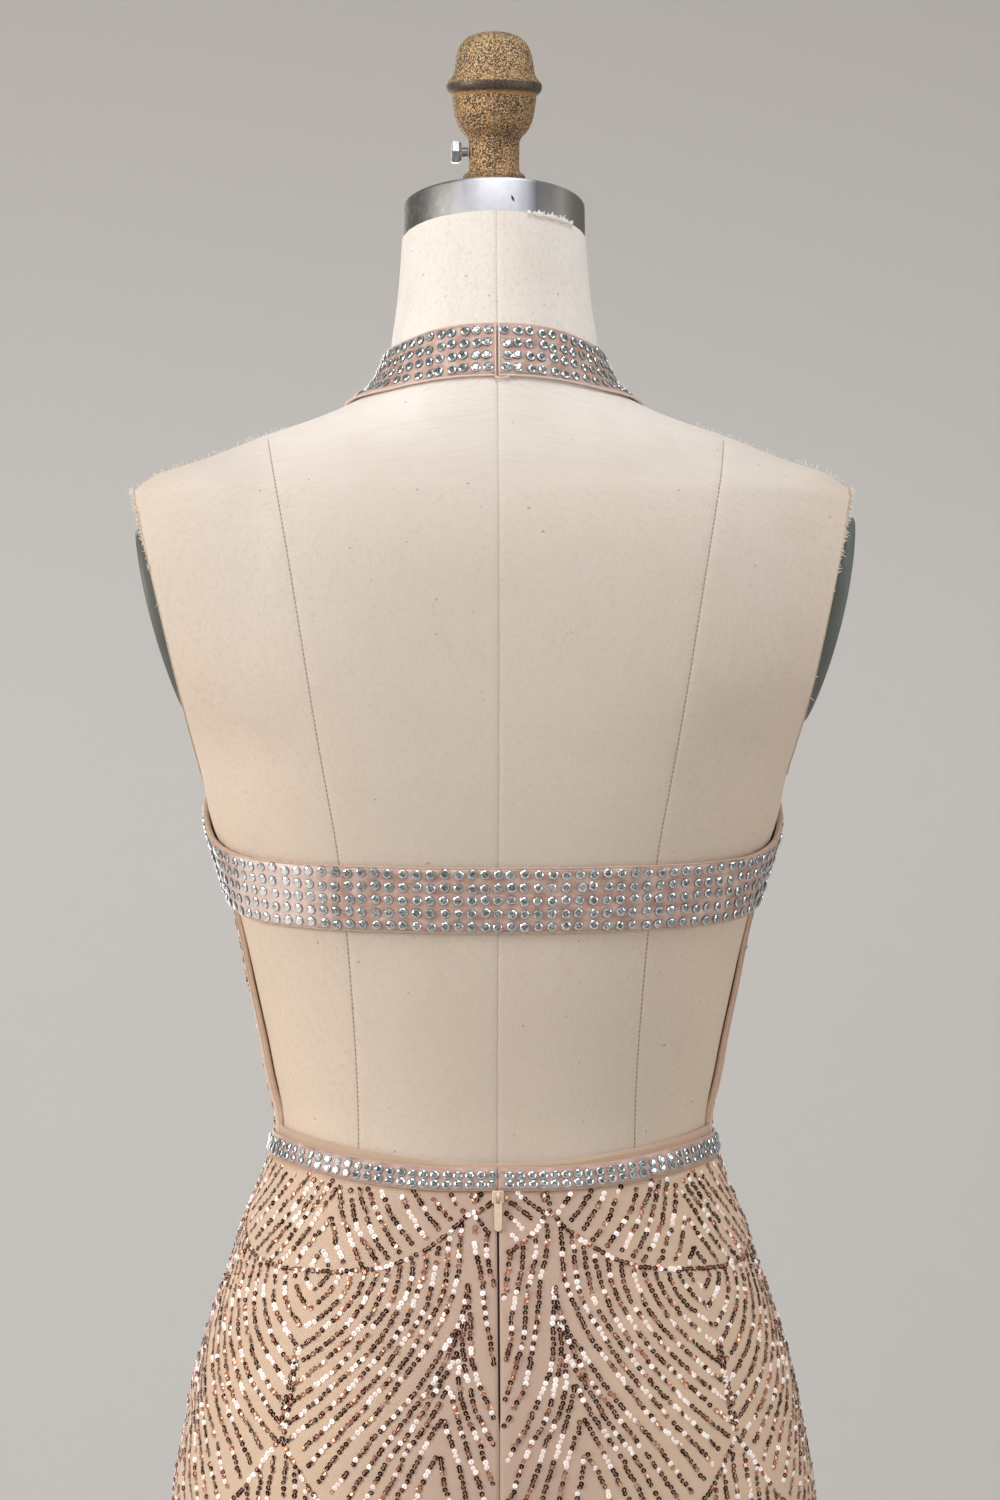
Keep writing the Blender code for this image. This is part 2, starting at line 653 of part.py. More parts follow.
def side_joint():
    """Distance along the path to the joint at the side."""
    run, angles, *_ = band_line()
    last = len(angles) - 4
    share = (angles[last] - radians(SIDE_JOINT_DEG)) / (angles[last] - angles[last + 1])
    return run[last] + share * (run[last + 1] - run[last])


def stone_bands(finish, home):
    """Two halter bands from centre back of the neck to the sides, and the strap across the back."""
    run = band_line()[0]
    joint = side_joint()
    along = np.linspace(NECK_SLIT, joint - SEAM, HALTER_STEPS)
    for side, name in ((1, "halter_band_left"), (-1, "halter_band_right")):
        cloth_object(name, band_points(along, side), BAND_WALL, finish, home)
    half = np.linspace(joint + SEAM, run[-1], STRAP_STEPS // 2 + 1)
    left = band_points(half, 1)
    right = band_points(half, -1)[:, ::-1]
    cloth_object("back_strap", np.concatenate([left, right[:, 1:]], axis=1), BAND_WALL, finish, home)


def waist_band(finish, home):
    """The narrow stone band round the waist, slit at centre back."""
    slit = SEAM / section(WAIST_HEIGHT, "back")
    angles = np.linspace(slit, 2 * pi - slit, 2 * FRONT_COLUMNS + 1)
    rise = np.array([-0.5, 0.5]) * WAIST_BAND_WIDTH
    heights = waist(angles)[None, :] + rise[:, None]
    turns = np.broadcast_to(angles, heights.shape)
    out = skirt_out(turns, heights) + WALL + BAND_LIFT
    cloth_object("waist_band", cloth(turns, heights, out), BAND_WALL, finish, home)


# ---- Gown panels --------------------------------------------------------------------------------------


def skirt_out(angle, height):
    """From the figure to the cloth's inner face, with room for the zip's tape at centre back."""
    x = figure(angle, height)[..., 0]
    behind = np.cos(angle) > 0
    over_tape = np.exp(-((x / ZIP_SPREAD) ** 2)) * behind * ease((height - ZIP_END + 0.05) / 0.04)
    return CLEARANCE + ZIP_ALLOWANCE * over_tape


def skirt_panel(name, first, last, columns, finish, home):
    """A panel of the skirt from the waist seam to the hem. first and last give its edges at each height."""
    share = np.linspace(0, 1, columns + 1)
    rows = []
    for level in (None, *SKIRT_ROWS):
        near = WAIST_HEIGHT if level is None else level
        angle = first(near) + (last(near) - first(near)) * share
        height = waist(angle) - SEAM if level is None else np.full_like(angle, level)
        rows.append(cloth(angle, height, skirt_out(angle, height)))
    return cloth_object(name, np.array(rows), WALL, finish, home)


def skirt(finish, home):
    """One front panel and two back panels, joined at the sides and at centre back below the zip."""

    def side(height):
        return SEAM / section(height, "half_width")

    def centre_back(height):
        opening = SEAM + (ZIP_OPENING - SEAM) * ease((height - ZIP_END) / 0.012)
        return opening / section(height, "back")

    skirt_panel(
        "skirt_front", lambda h: pi / 2 + side(h), lambda h: 3 * pi / 2 - side(h), FRONT_COLUMNS, finish, home
    )
    skirt_panel("skirt_back_left", centre_back, lambda h: pi / 2 - side(h), BACK_COLUMNS, finish, home)
    skirt_panel(
        "skirt_back_right", lambda h: 3 * pi / 2 + side(h), lambda h: 2 * pi - centre_back(h),
        BACK_COLUMNS, finish, home,
    )  # fmt: skip


def edge_at(shares, rows, start):
    """Angle and height along one edge of the bodice's half, from its place on the waist seam."""
    table = (start, *rows)
    knots = column(table, EDGE_COLUMNS, "share")
    angles = smooth(shares, knots, np.radians(column(table, EDGE_COLUMNS, "angle_deg")))
    return angles, smooth(shares, knots, column(table, EDGE_COLUMNS, "height"))


def front_bodice(finish, home):
    """The halter front: one piece with a plain pointed neckline, held by the bands along its armholes."""
    below = np.linspace(0, NECKLINE_POINT, BODICE_ROWS * 3 // 5 + 1)
    shares = np.concatenate([below, np.linspace(NECKLINE_POINT, 1, BODICE_ROWS * 2 // 5 + 1)[1:]])
    side_waist = (0.0, WAIST_EDGE_DEG, float(waist(radians(WAIST_EDGE_DEG))) + SEAM)
    front_waist = (0.0, 180, float(waist(pi)) + SEAM)
    outer_angle, outer_height = edge_at(shares, BODICE_OUTER, side_waist)
    inner_angle, inner_height = edge_at(shares, BODICE_INNER, front_waist)
    inner_angle = np.where(shares <= NECKLINE_POINT, pi, np.minimum(inner_angle, pi - 0.002))
    share = np.linspace(0, 1, BODICE_COLUMNS + 1)[None, :]
    angle = outer_angle[:, None] + (inner_angle - outer_angle)[:, None] * share
    height = outer_height[:, None] + (inner_height - outer_height)[:, None] * share
    height[0] = waist(angle[0]) + SEAM
    side_edge = (1 - ease(share / 0.25)) * (1 - ease((shares[:, None] - 0.3) / 0.15))
    above_band = ease((shares[:, None] - 0.05) / 0.1)
    points = cloth(angle, height, CLEARANCE + (BODICE_LIFT + SIDE_STAND_OFF * side_edge) * above_band)
    points[:, -1, 0] = np.where(shares <= NECKLINE_POINT, 0.0, points[:, -1, 0])
    item = add("front_bodice", grid_mesh("front_bodice", faced_out(points)), finish, home)
    mirror = item.modifiers.new("other half", "MIRROR")
    mirror.merge_threshold = 0.0001
    thicken(item, WALL)
    return item


def waist_facing(finish, home):
    """The strip of lining that shows above the waist band across the back."""
    edge = radians(WAIST_EDGE_DEG) - 2 * SEAM / section(WAIST_HEIGHT, "half_width")
    angles = np.linspace(-edge, edge, 29)
    rise = np.array([SEAM, WAIST_BAND_WIDTH / 2 + FACING_SHOWS])
    heights = waist(angles)[None, :] + rise[:, None]
    turns = np.broadcast_to(angles, heights.shape)
    cloth_object("waist_facing", cloth(turns, heights, skirt_out(turns, heights)), WALL, finish, home)


def neck_hook(finish, home):
    """The small hook under the slit of the neck band, close to the band's lower edge."""
    curve = bpy.data.curves.new("neck_hook", "CURVE")
    curve.dimensions = "3D"
    curve.bevel_depth = HOOK_WIRE
    curve.bevel_resolution = 1
    curve.use_fill_caps = True
    spline = curve.splines.new("POLY")
    width = column(BAND_PATH, BAND_PATH_COLUMNS, "width")[0]
    spline.points.add(len(HOOK_PLACES) - 1)
    for point, (x, drop) in zip(spline.points, HOOK_PLACES):
        share = 0.5 + (GAP + HOOK_WIRE + drop) / width
        spot = band_points(np.array([abs(x)]), np.sign(x), [share], CLEARANCE + BAND_WALL / 2)
        point.co = (*spot[0, 0], 1.0)
    item = bpy.data.objects.new("neck_hook", curve)
    home.objects.link(item)
    curve.materials.append(finish)
    return item


# ---- Zip ----------------------------------------------------------------------------------------------


def zip_tape(finish, home):
    """The closed zip behind the back panels' edges."""
    heights = np.linspace(float(waist(0.0)) - SEAM, ZIP_END - 0.004, 12)[:, None]
    x = np.linspace(-TAPE_WIDTH / 2, TAPE_WIDTH / 2, 5)[None, :]
    angles = x / section(heights, "back")
    cloth_object("zip_tape", cloth(angles, heights + 0 * x, TAPE_OUT), TAPE_WALL, finish, home)


def slider_frame():
    """Where the slider sits: +X across, +Y out of the cloth and +Z up along it, on the cloth's face."""
    height = float(waist(0.0)) - WAIST_BAND_WIDTH / 2 - 2 * GAP - SLIDER_LENGTH / 2
    out = float(skirt_out(np.array(0.0), np.array(height))) + WALL + GAP
    normal = Vector(outward(np.array(0.0), np.array(height)))
    place = Vector(cloth(np.array(0.0), np.array(height), out))
    up = Vector((1.0, 0.0, 0.0)).cross(normal)
    turn = Matrix((Vector((1.0, 0.0, 0.0)), normal, up)).transposed()
    return Matrix.Translation(place) @ turn.to_4x4()


def zip_slider(finish, home, cutters):
    """The slider's body with the arch that carries the pull tab."""
    frame = slider_frame()
    body = block("zip_slider", (SLIDER_WIDTH, SLIDER_WALL, SLIDER_LENGTH), finish, home)
    body.matrix_world = frame @ Matrix.Translation((0.0, SLIDER_WALL / 2, 0.0))
    edge = body.modifiers.new("edge", "BEVEL")
    edge.width = 0.0005
    edge.segments = 2
    sunk = -0.0004
    outer = [(ARCH_LENGTH / 2 * cos(t), ARCH_HEIGHT * sin(t)) for t in np.linspace(0, pi, 13)]
    inner_length, inner_height = ARCH_LENGTH / 2 - ARCH_BAR, ARCH_HEIGHT - ARCH_BAR
    inner = [(inner_length * cos(t), inner_height * sin(t)) for t in np.linspace(pi, 0, 13)]
    loop = [(ARCH_LENGTH / 2, sunk), *outer, (-ARCH_LENGTH / 2, sunk), (-inner_length, sunk), *inner,
            (inner_length, sunk)]  # fmt: skip
    arch = outline("slider_arch", [loop], ARCH_WIDTH, finish, cutters)
    # The outline's x runs up the slider, its y out of the cloth, and its thickness across.
    turn = Matrix(((0, 0, 1), (0, 1, 0), (-1, 0, 0))).to_4x4()
    arch.matrix_world = frame @ Matrix.Translation((0.0, SLIDER_WALL, 0.0)) @ turn
    bpy.context.view_layer.update()
    boolean(body, as_mesh(arch), "UNION")
    return body


def zip_pull(finish, home):
    """The pull tab, hanging from the slider's arch. Its origin is on the hinge line."""
    half = PULL_WIDTH / 2
    corner = 0.0007
    top, bottom = -PULL_WALL / 2, PULL_LENGTH
    plate = arc((half - corner, top + corner), corner, -90, 0, 4)
    plate += arc((half - half, bottom - half), half, 0, 180, 11)
    plate += arc((-half + corner, top + corner), corner, 180, 270, 4)
    eye = PULL_EYE_WIDTH / 2
    eye_loop = [(-eye, PULL_WALL / 2), (eye, PULL_WALL / 2)]
    eye_loop += arc((0.0, PULL_EYE_END - eye), eye, 0, 180, 9)
    tab = outline("zip_pull_tab", [plate, eye_loop], PULL_WALL, finish, home)
    # The outline's x runs across, its y down the tab, and its thickness out of the cloth.
    turn = Matrix(((1, 0, 0), (0, 0, 1), (0, -1, 0))).to_4x4()
    hinge = Matrix.Translation((0.0, SLIDER_WALL + PULL_AXIS, 0.0))
    tab.matrix_world = slider_frame() @ hinge @ Matrix.Rotation(-PULL_LEAN, 4, "X") @ turn
    return tab


# ---- The part -----------------------------------------------------------------------------------------


def main():
    clear_scene()
    parts = new_collection("mermaid_gown_on_dress_form")
    cutters = new_collection("cutters")

    canvas = material("form_canvas", (0.78, 0.69, 0.58), 0.85)
    brushed = material("brushed_cap", (0.62, 0.62, 0.63), 0.35, 1.0)
    cast = material("cast_brass", (0.42, 0.30, 0.16), 0.60, 0.7)
    zinc = material("zinc_bolt", (0.60, 0.62, 0.63), 0.40, 1.0)
    plate = material("plate_paint", (0.16, 0.18, 0.17), 0.50)
    pole = material("pole_steel", (0.55, 0.55, 0.56), 0.30, 1.0)
    base = material("base_iron", (0.05, 0.05, 0.05), 0.60, 0.3)
    net = material("sequined_net", (0.62, 0.40, 0.31), 0.45, 0.1)
    satin = material("stone_band", (0.66, 0.48, 0.42), 0.35)
    lining = material("nude_lining", (0.80, 0.60, 0.47), 0.70)
    tape = material("zip_tape", (0.40, 0.24, 0.19), 0.80)
    slider = material("zip_metal", (0.66, 0.45, 0.38), 0.35, 0.6)

    torso(canvas, parts, cutters)
    for side in (1, -1):
        arm_plate(side, plate, parts)
    neck_cap(brushed, parts)
    finial(cast, parts, cutters)
    set_bolt(zinc, parts)
    stand(pole, base, parts)

    skirt(net, parts)
    front_bodice(net, parts)
    waist_facing(lining, parts)
    stone_bands(satin, parts)
    waist_band(satin, parts)
    neck_hook(lining, parts)

    zip_tape(tape, parts)
    zip_slider(slider, parts, cutters)
    zip_pull(slider, parts)


main()
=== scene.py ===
"""Looks of the halter mermaid gown on its dress form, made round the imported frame.

Metres, +Z up, the gown's open back towards +Y and the wearer's left towards +X. A place on the figure is
an angle, from centre back towards +X, and a height. Cloth is a thin closed wall on the figure. Sequins and
stones are small shapes joined into one mesh a panel.
"""

from math import cos, pi, radians, sin, tan

import bmesh
import bpy
import numpy as np
from mathutils import Matrix, Vector, noise
from mathutils.bvhtree import BVHTree


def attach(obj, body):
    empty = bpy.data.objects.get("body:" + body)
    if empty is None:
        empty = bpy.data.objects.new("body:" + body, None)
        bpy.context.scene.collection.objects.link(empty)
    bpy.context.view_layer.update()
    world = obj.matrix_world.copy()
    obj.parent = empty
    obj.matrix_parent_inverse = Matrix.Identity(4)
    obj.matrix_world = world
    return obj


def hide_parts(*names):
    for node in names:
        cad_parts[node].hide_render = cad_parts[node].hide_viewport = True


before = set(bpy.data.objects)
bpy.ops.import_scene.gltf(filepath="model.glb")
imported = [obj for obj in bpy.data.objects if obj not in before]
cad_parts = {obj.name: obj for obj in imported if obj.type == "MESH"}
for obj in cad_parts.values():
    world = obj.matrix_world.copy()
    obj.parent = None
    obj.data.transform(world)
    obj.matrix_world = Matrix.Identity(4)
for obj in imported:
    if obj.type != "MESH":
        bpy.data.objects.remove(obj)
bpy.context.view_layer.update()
BODY = "gown_on_form"

# ---- Sizes, as in the part ----------------------------------------------------------------------------

GAP = 0.0003
SEAM = 0.00015
CLEARANCE = 0.0012
BODICE_LIFT = 0.0003
WALL = 0.0012
BAND_WALL = 0.0012
BAND_LIFT = 0.0006
HEM_HEIGHT = 0.010
TORSO_BOTTOM = 0.800
NECK_TOP = 1.5805
NECK_TILT = radians(14)
NECK_TILT_STARTS = 1.530
WAIST_HEIGHT = 1.0770
WAIST_DIP_BACK = 0.0160
WAIST_DIP_FRONT = 0.0060
WAIST_BAND_WIDTH = 0.0120
FACING_SHOWS = 0.0048
BRIDGE = 0.45
BUST_APART = 0.088
BUST_HEIGHT = 1.284
BUST_DEPTH = 0.034
BUST_ACROSS = 0.060
BUST_ABOVE = 0.075
BUST_BELOW = 0.050
BUST_FADES_BY = 0.45  # share of the depth, from the side, over which the mounds fade in

FIGURE_COLUMNS = ("height", "half_width", "back", "front", "middle", "squareness")
FIGURE = (
    (0.010, 0.3550, 0.3600, -0.3500, 0.0000, 2.00),
    (0.070, 0.3220, 0.3270, -0.3180, 0.0000, 2.00),
    (0.140, 0.2760, 0.2800, -0.2700, 0.0000, 2.00),
    (0.210, 0.2310, 0.2320, -0.2240, 0.0000, 2.00),
    (0.280, 0.1890, 0.1860, -0.1800, 0.0000, 2.00),
    (0.340, 0.1600, 0.1520, -0.1480, 0.0000, 2.05),
    (0.400, 0.1430, 0.1290, -0.1280, 0.0000, 2.10),
    (0.460, 0.1370, 0.1180, -0.1190, 0.0000, 2.15),
    (0.540, 0.1425, 0.1150, -0.1190, 0.0000, 2.20),
    (0.640, 0.1550, 0.1170, -0.1200, 0.0000, 2.25),
    (0.740, 0.1680, 0.1210, -0.1210, 0.0000, 2.30),
    (0.820, 0.1755, 0.1245, -0.1200, 0.0000, 2.30),
    (0.887, 0.1760, 0.1240, -0.1180, 0.0000, 2.30),
    (0.921, 0.1700, 0.1195, -0.1165, 0.0000, 2.30),
    (0.943, 0.1660, 0.1145, -0.1150, 0.0000, 2.30),
    (0.966, 0.1600, 0.1080, -0.1130, 0.0000, 2.30),
    (0.988, 0.1530, 0.1010, -0.1105, 0.0000, 2.30),
    (1.010, 0.1450, 0.0935, -0.1080, -0.0010, 2.30),
    (1.033, 0.1380, 0.0862, -0.1045, -0.0020, 2.30),
    (1.055, 0.1286, 0.0800, -0.1010, -0.0030, 2.30),
    (1.080, 0.1205, 0.0765, -0.0985, -0.0040, 2.30),
    (1.122, 0.1255, 0.0790, -0.0985, -0.0040, 2.30),
    (1.167, 0.1340, 0.0870, -0.1020, -0.0020, 2.35),
    (1.212, 0.1445, 0.0960, -0.1090, 0.0000, 2.40),
    (1.257, 0.1580, 0.1030, -0.1160, 0.0020, 2.40),
    (1.302, 0.1710, 0.1070, -0.1180, 0.0060, 2.50),
    (1.318, 0.1830, 0.1080, -0.1145, 0.0080, 2.50),
    (1.335, 0.1970, 0.1085, -0.1100, 0.0100, 2.50),
    (1.360, 0.2090, 0.1085, -0.1035, 0.0110, 2.50),
    (1.385, 0.2150, 0.1075, -0.0955, 0.0120, 2.45),
    (1.410, 0.2160, 0.1050, -0.0855, 0.0130, 2.40),
    (1.430, 0.2120, 0.1015, -0.0745, 0.0150, 2.30),
    (1.443, 0.2035, 0.0985, -0.0675, 0.0160, 2.20),
    (1.4475, 0.1930, 0.0965, -0.0640, 0.0170, 2.10),
    (1.458, 0.1610, 0.0925, -0.0575, 0.0180, 2.00),
    (1.470, 0.1300, 0.0880, -0.0515, 0.0190, 2.00),
    (1.481, 0.0980, 0.0840, -0.0480, 0.0190, 2.00),
    (1.492, 0.0740, 0.0800, -0.0465, 0.0180, 2.00),
    (1.510, 0.0605, 0.0735, -0.0470, 0.0145, 2.00),
    (1.530, 0.0565, 0.0670, -0.0485, 0.0100, 2.00),
    (1.548, 0.0540, 0.0610, -0.0500, 0.0055, 2.00),
    (1.565, 0.0525, 0.0560, -0.0512, 0.0020, 2.00),
    (1.5805, 0.0515, 0.0520, -0.0520, 0.0000, 2.00),
)
FLUTE_COLUMNS = ("angle_deg", "depth", "spread_deg", "top")
FLUTES = (
    (0, 0.034, 15, 0.450),
    (31, 0.040, 16, 0.470),
    (59, 0.036, 15, 0.440),
    (90, 0.038, 16, 0.455),
    (121, 0.033, 15, 0.430),
    (149, 0.039, 16, 0.465),
    (180, 0.035, 15, 0.445),
    (212, 0.040, 16, 0.460),
    (240, 0.034, 15, 0.430),
    (270, 0.038, 16, 0.455),
    (299, 0.036, 15, 0.440),
    (331, 0.039, 16, 0.465),
)

ARM_PLANE_X = 0.2010
ARM_PLANE_Z = 1.443
ARM_PLANE_LEAN = radians(13.2)
RIGHT_CUT_X = 0.1969  # the right armhole of the cover is cut a little further in
RIGHT_CUT_LEAN = radians(11.9)
ARM_PLATE_HEIGHT = 0.110
ARM_PLATE_DEPTH = 0.080
ARM_PLATE_WALL = 0.0048
ARM_PLATE_Z = 1.3715
ARM_PLATE_Y = 0.011
# Each arm plate: side, node, length added at each end, swelling of its middle, and its lean on its seat.
PLATES = (
    (1, "arm_plate_left", -0.0035, 0.0032, radians(1.6)),
    (-1, "arm_plate_right", 0.0040, 0.0042, radians(0.4)),
)
PLATE_MOVED = (0.0020, 0.0, -0.0016)  # down its seat, and into it
ARMHOLE_FOOT = 1.272  # the cover is whole below this height
SHOULDER_TIPS = 1.40  # above this height the cover's corners are rounded
SHOULDER_ROUND, SHOULDER_DROP = 0.020, 0.0042
SEAM_GROOVE, SEAM_GROOVE_HALF = 0.00035, 0.0011

BAND_PATH_COLUMNS = ("angle_deg", "height", "width", "out")
BAND_PATH = (
    (0, 1.5148, 0.0305, 0.0012),
    (10, 1.5147, 0.0305, 0.0012),
    (30, 1.5128, 0.0305, 0.0012),
    (60, 1.5068, 0.0305, 0.0012),
    (90, 1.5022, 0.0310, 0.0012),
    (110, 1.4955, 0.0310, 0.0016),
    (124, 1.4825, 0.0315, 0.0026),
    (134, 1.4660, 0.0320, 0.0035),
    (140, 1.4400, 0.0325, 0.0036),
    (141.5, 1.4050, 0.0330, 0.0036),
    (138, 1.3650, 0.0335, 0.0036),
    (130, 1.3250, 0.0340, 0.0036),
    (118, 1.2880, 0.0345, 0.0035),
    (104, 1.2575, 0.0350, 0.0034),
    (90, 1.2360, 0.0355, 0.0033),
    (75, 1.2235, 0.0355, 0.0029),
    (60, 1.2180, 0.0355, 0.0016),
    (30, 1.2150, 0.0353, 0.0012),
    (0, 1.2144, 0.0353, 0.0012),
)
SIDE_JOINT_DEG = 84
NECK_SLIT = 0.0005

EDGE_COLUMNS = ("share", "angle_deg", "height")
WAIST_EDGE_DEG = 80
BODICE_OUTER = (
    (0.16, 81, 1.115),
    (0.33, 83.5, 1.165),
    (0.50, 88, 1.222),
    (0.62, 104, 1.2575),
    (0.72, 118, 1.288),
    (0.80, 130, 1.325),
    (0.88, 138, 1.365),
    (0.94, 141.5, 1.405),
    (1.00, 140, 1.440),
)
NECKLINE_POINT = 0.62
BODICE_INNER = (
    (0.16, 180, 1.125),
    (0.33, 180, 1.185),
    (0.50, 180, 1.245),
    (NECKLINE_POINT, 180, 1.300),
    (0.72, 176.5, 1.330),
    (0.80, 172.5, 1.360),
    (0.88, 166.5, 1.395),
    (0.94, 160, 1.422),
    (1.00, 152, 1.452),
)
SIDE_STAND_OFF = 0.0012

ZIP_END = 0.9256
ZIP_OPENING = 0.0006
ZIP_ALLOWANCE = 0.0016
ZIP_SPREAD = 0.0220
TAPE_WIDTH = 0.0200
TAPE_WALL = 0.0010
TAPE_OUT = 0.0009
SLIDER_LENGTH = 0.0070

CAP_RADIUS = 0.0510
CAP_HEIGHT = 0.0205
FINIAL_PROFILE = (
    (0.0000, 1.6980), (0.0085, 1.6975), (0.0150, 1.6950), (0.0196, 1.6900), (0.0216, 1.6830),
    (0.0229, 1.6740), (0.0250, 1.6708), (0.0268, 1.6690), (0.0270, 1.6665), (0.0262, 1.6640),
    (0.0236, 1.6625), (0.0234, 1.6580), (0.0222, 1.6500), (0.0192, 1.6430), (0.0150, 1.6385),
    (0.0142, 1.6360), (0.0141, 1.6215), (0.0145, 1.6192), (0.0176, 1.6178), (0.0178, 1.6060),
)  # fmt: skip
BOLT_Z = 1.6307
BOLT_HEAD_FROM = 0.0202
BOLT_HEAD_LENGTH = 0.0047
BOLT_HEAD_ACROSS = 0.0124
BOLT_SHANK_RADIUS = 0.0030
STEM_RADIUS = 0.0142

# ---- Sizes of what only shows here --------------------------------------------------------------------

# The camera: where it stands, and where the form's axis lies in the picture.
CAMERA_AWAY = 3.2
CAMERA_TURN = radians(1.4)
CAMERA_HEIGHT = 1.296
PICTURE = (1000, 1500)
FOCAL_PIXELS = 5714
AXIS_PIXEL = 494

# Sequins, and the half-drop pattern of nested V strands that they follow. Distances run over the cloth.
SEQUIN_RADIUS = 0.00150
SEQUIN_HOLE = 0.00038
SEQUIN_PITCH = 0.00285
SEQUIN_LIFT = 0.00055
CELL_HALF = 0.088  # from an axis of Vs to an axis of peaks
HALF_DROP = 0.128
DEEPER = 0.015  # by which the lower tiers sink further between their corners
SMILE_DEPTH = 0.035  # of the strand that closes each cell at its top
SMILE_STEP = 0.0070  # between the strands that hang from it
FROM_SMILE = 12
# Drop, and lean in degrees, of each strand that starts on the axis of peaks.
PEAKS = ((0.040, 2), (0.060, 6), (0.078, 11), (0.096, 17), (0.114, 22), (0.132, 25), (0.150, 27))
VEE_STEP = 0.0108
VEE_SLOPE = radians(37)
PATTERN_TOP = 1.044  # height of the corners of the first cells under the waist
AXIS_SHARE = 0.512  # of the quarter's girth, where the first axis of Vs runs
AXIS_SHIFT = {"back_left": 0.0, "back_right": 0.014, "front": 0.0}
EASED = (1.045, 0.985, 0.875)  # the cloth is drawn in between these heights, down to this share

# Stones: radius, pitch along the band, and rows with their places across it as shares.
NECK_STONE, NECK_STONE_PITCH, NECK_ROWS = 0.00282, 0.0066, (-0.37, -0.125, 0.12, 0.365)
STRAP_STONE, STRAP_STONE_PITCH, STRAP_ROWS = 0.00272, 0.0074, (-0.405, -0.2025, 0.0, 0.2025, 0.405)
WAIST_STONE, WAIST_STONE_PITCH, WAIST_ROWS = 0.00250, 0.0062, (-0.0030, 0.0019)

# Soft troughs (negative) and ridges of the skirt: where each starts, where it ends, its
# half width and its depth in millimetres. The first rows are the short pulls under the waist at the back.
CREASE_COLUMNS = ("from_deg", "from_height", "to_deg", "to_height", "half_width_mm", "depth_mm")
CREASES = (
    (9, 1.052, 22, 1.026, 4.0, 0.8),
    (18, 1.053, 36, 1.034, 5.0, -0.7),
    (31, 1.056, 44, 1.022, 4.5, 0.7),
    (-8, 1.052, -17, 1.030, 3.5, 0.9),
    (-19, 1.053, -31, 1.021, 5.0, -0.8),
    (-33, 1.056, -50, 1.036, 4.0, 0.8),
    (3.5, 1.020, 5.0, 0.955, 3.0, 0.6),
    (-3.5, 1.005, -6.0, 0.940, 3.5, 0.7),
    (58, 1.045, 40, 0.985, 7.0, -0.6),
    (-62, 1.040, -38, 0.975, 8.0, 0.8),
    (20, 0.905, 70, 0.880, 9.0, -0.7),
    (-75, 0.915, -25, 0.868, 10.0, 0.9),
    (10, 0.790, 75, 0.735, 11.0, 2.2),
    (-12, 0.765, -80, 0.700, 12.0, -2.0),
    (84, 0.690, 22, 0.610, 12.0, 2.6),
    (-88, 0.655, -30, 0.560, 13.0, 2.4),
    (40, 0.560, 8, 0.500, 10.0, -2.4),
    (-45, 0.520, -8, 0.462, 11.0, 2.8),
    (130, 1.045, 150, 0.985, 6.0, 0.8),
    (205, 1.050, 222, 0.995, 6.5, -0.7),
    (240, 1.040, 262, 0.990, 7.0, 0.8),
    (105, 0.960, 160, 0.925, 9.0, 0.9),
    (200, 0.945, 255, 0.910, 10.0, -0.7),
    (100, 0.800, 165, 0.742, 12.0, 2.3),
    (192, 0.775, 262, 0.715, 11.0, -2.1),
    (98, 0.660, 150, 0.590, 13.0, 2.5),
    (258, 0.640, 205, 0.555, 12.0, 2.7),
    (140, 0.535, 176, 0.470, 11.0, -2.5),
    (228, 0.500, 190, 0.455, 10.0, 2.4),
)

# Seams of the form's cover: half the distance between the two seams of a pair, at heights.
BACK_SEAM = ((0.80, 0.088), (0.90, 0.088), (1.00, 0.080), (1.07, 0.076), (1.16, 0.0795), (1.25, 0.089),
             (1.28, 0.0945), (1.414, 0.1165), (1.468, 0.126))  # fmt: skip
FRONT_SEAM = ((0.80, 0.086), (0.90, 0.085), (1.08, 0.070), (1.20, 0.080), (1.284, 0.088), (1.38, 0.100),
              (1.458, 0.112))  # fmt: skip
SEAM_ENDS = 1.468  # the two pairs end at the shoulders
SIDE_SEAM_ENDS = 1.497
PANEL_COLUMNS = 12

# Loose threads and fuzz of the cover.
EDGE_THREADS, SHOULDER_THREADS, LIP_THREADS = 230, 60, 46
LIP_STEPS = 40
THREAD_RADII = (0.00034, 0.00014)  # at the root and at the tip

CREASE_REACH = 0.14  # metres of cloth to a radian, by which a crease's angles become lengths
BAND_STEP = 0.0022  # along the stone bands
PIPING_RADIUS = 0.00062  # of the rolled edges of the bands
KNEE = 0.48  # below this height the skirt's rows lie further apart
LEVEL_STEP, ARC_STEP = 0.004, 0.002  # of the tables that carry the sequins' pattern to the cloth
SEQUIN_STRAY = 0.00032  # of a sequin along its strand
SEQUIN_MISSING = 0.012  # share of them
RINGED_ABOVE = 0.845  # below this height the sequins are plain discs

rng = np.random.default_rng(11)

# ---- The figure ---------------------------------------------------------------------------------------


def column(rows, names, name):
    """One column of a table as an array."""
    return np.array([row[names.index(name)] for row in rows], float)


def smooth(x, knots, values):
    """Cubic curve through the values at the knots, held level past both ends."""
    x = np.clip(np.asarray(x, float), knots[0], knots[-1])
    slopes = np.gradient(values, knots)
    left = np.clip(np.searchsorted(knots, x, side="right") - 1, 0, len(knots) - 2)
    span = knots[left + 1] - knots[left]
    t = (x - knots[left]) / span
    near = values[left] * (1 + 2 * t) * (1 - t) ** 2 + slopes[left] * span * t * (1 - t) ** 2
    far = values[left + 1] * t**2 * (3 - 2 * t) + slopes[left + 1] * span * t**2 * (t - 1)
    return near + far


def ease(t):
    """From 0 to 1 with level ends."""
    t = np.clip(t, 0, 1)
    return t * t * (3 - 2 * t)


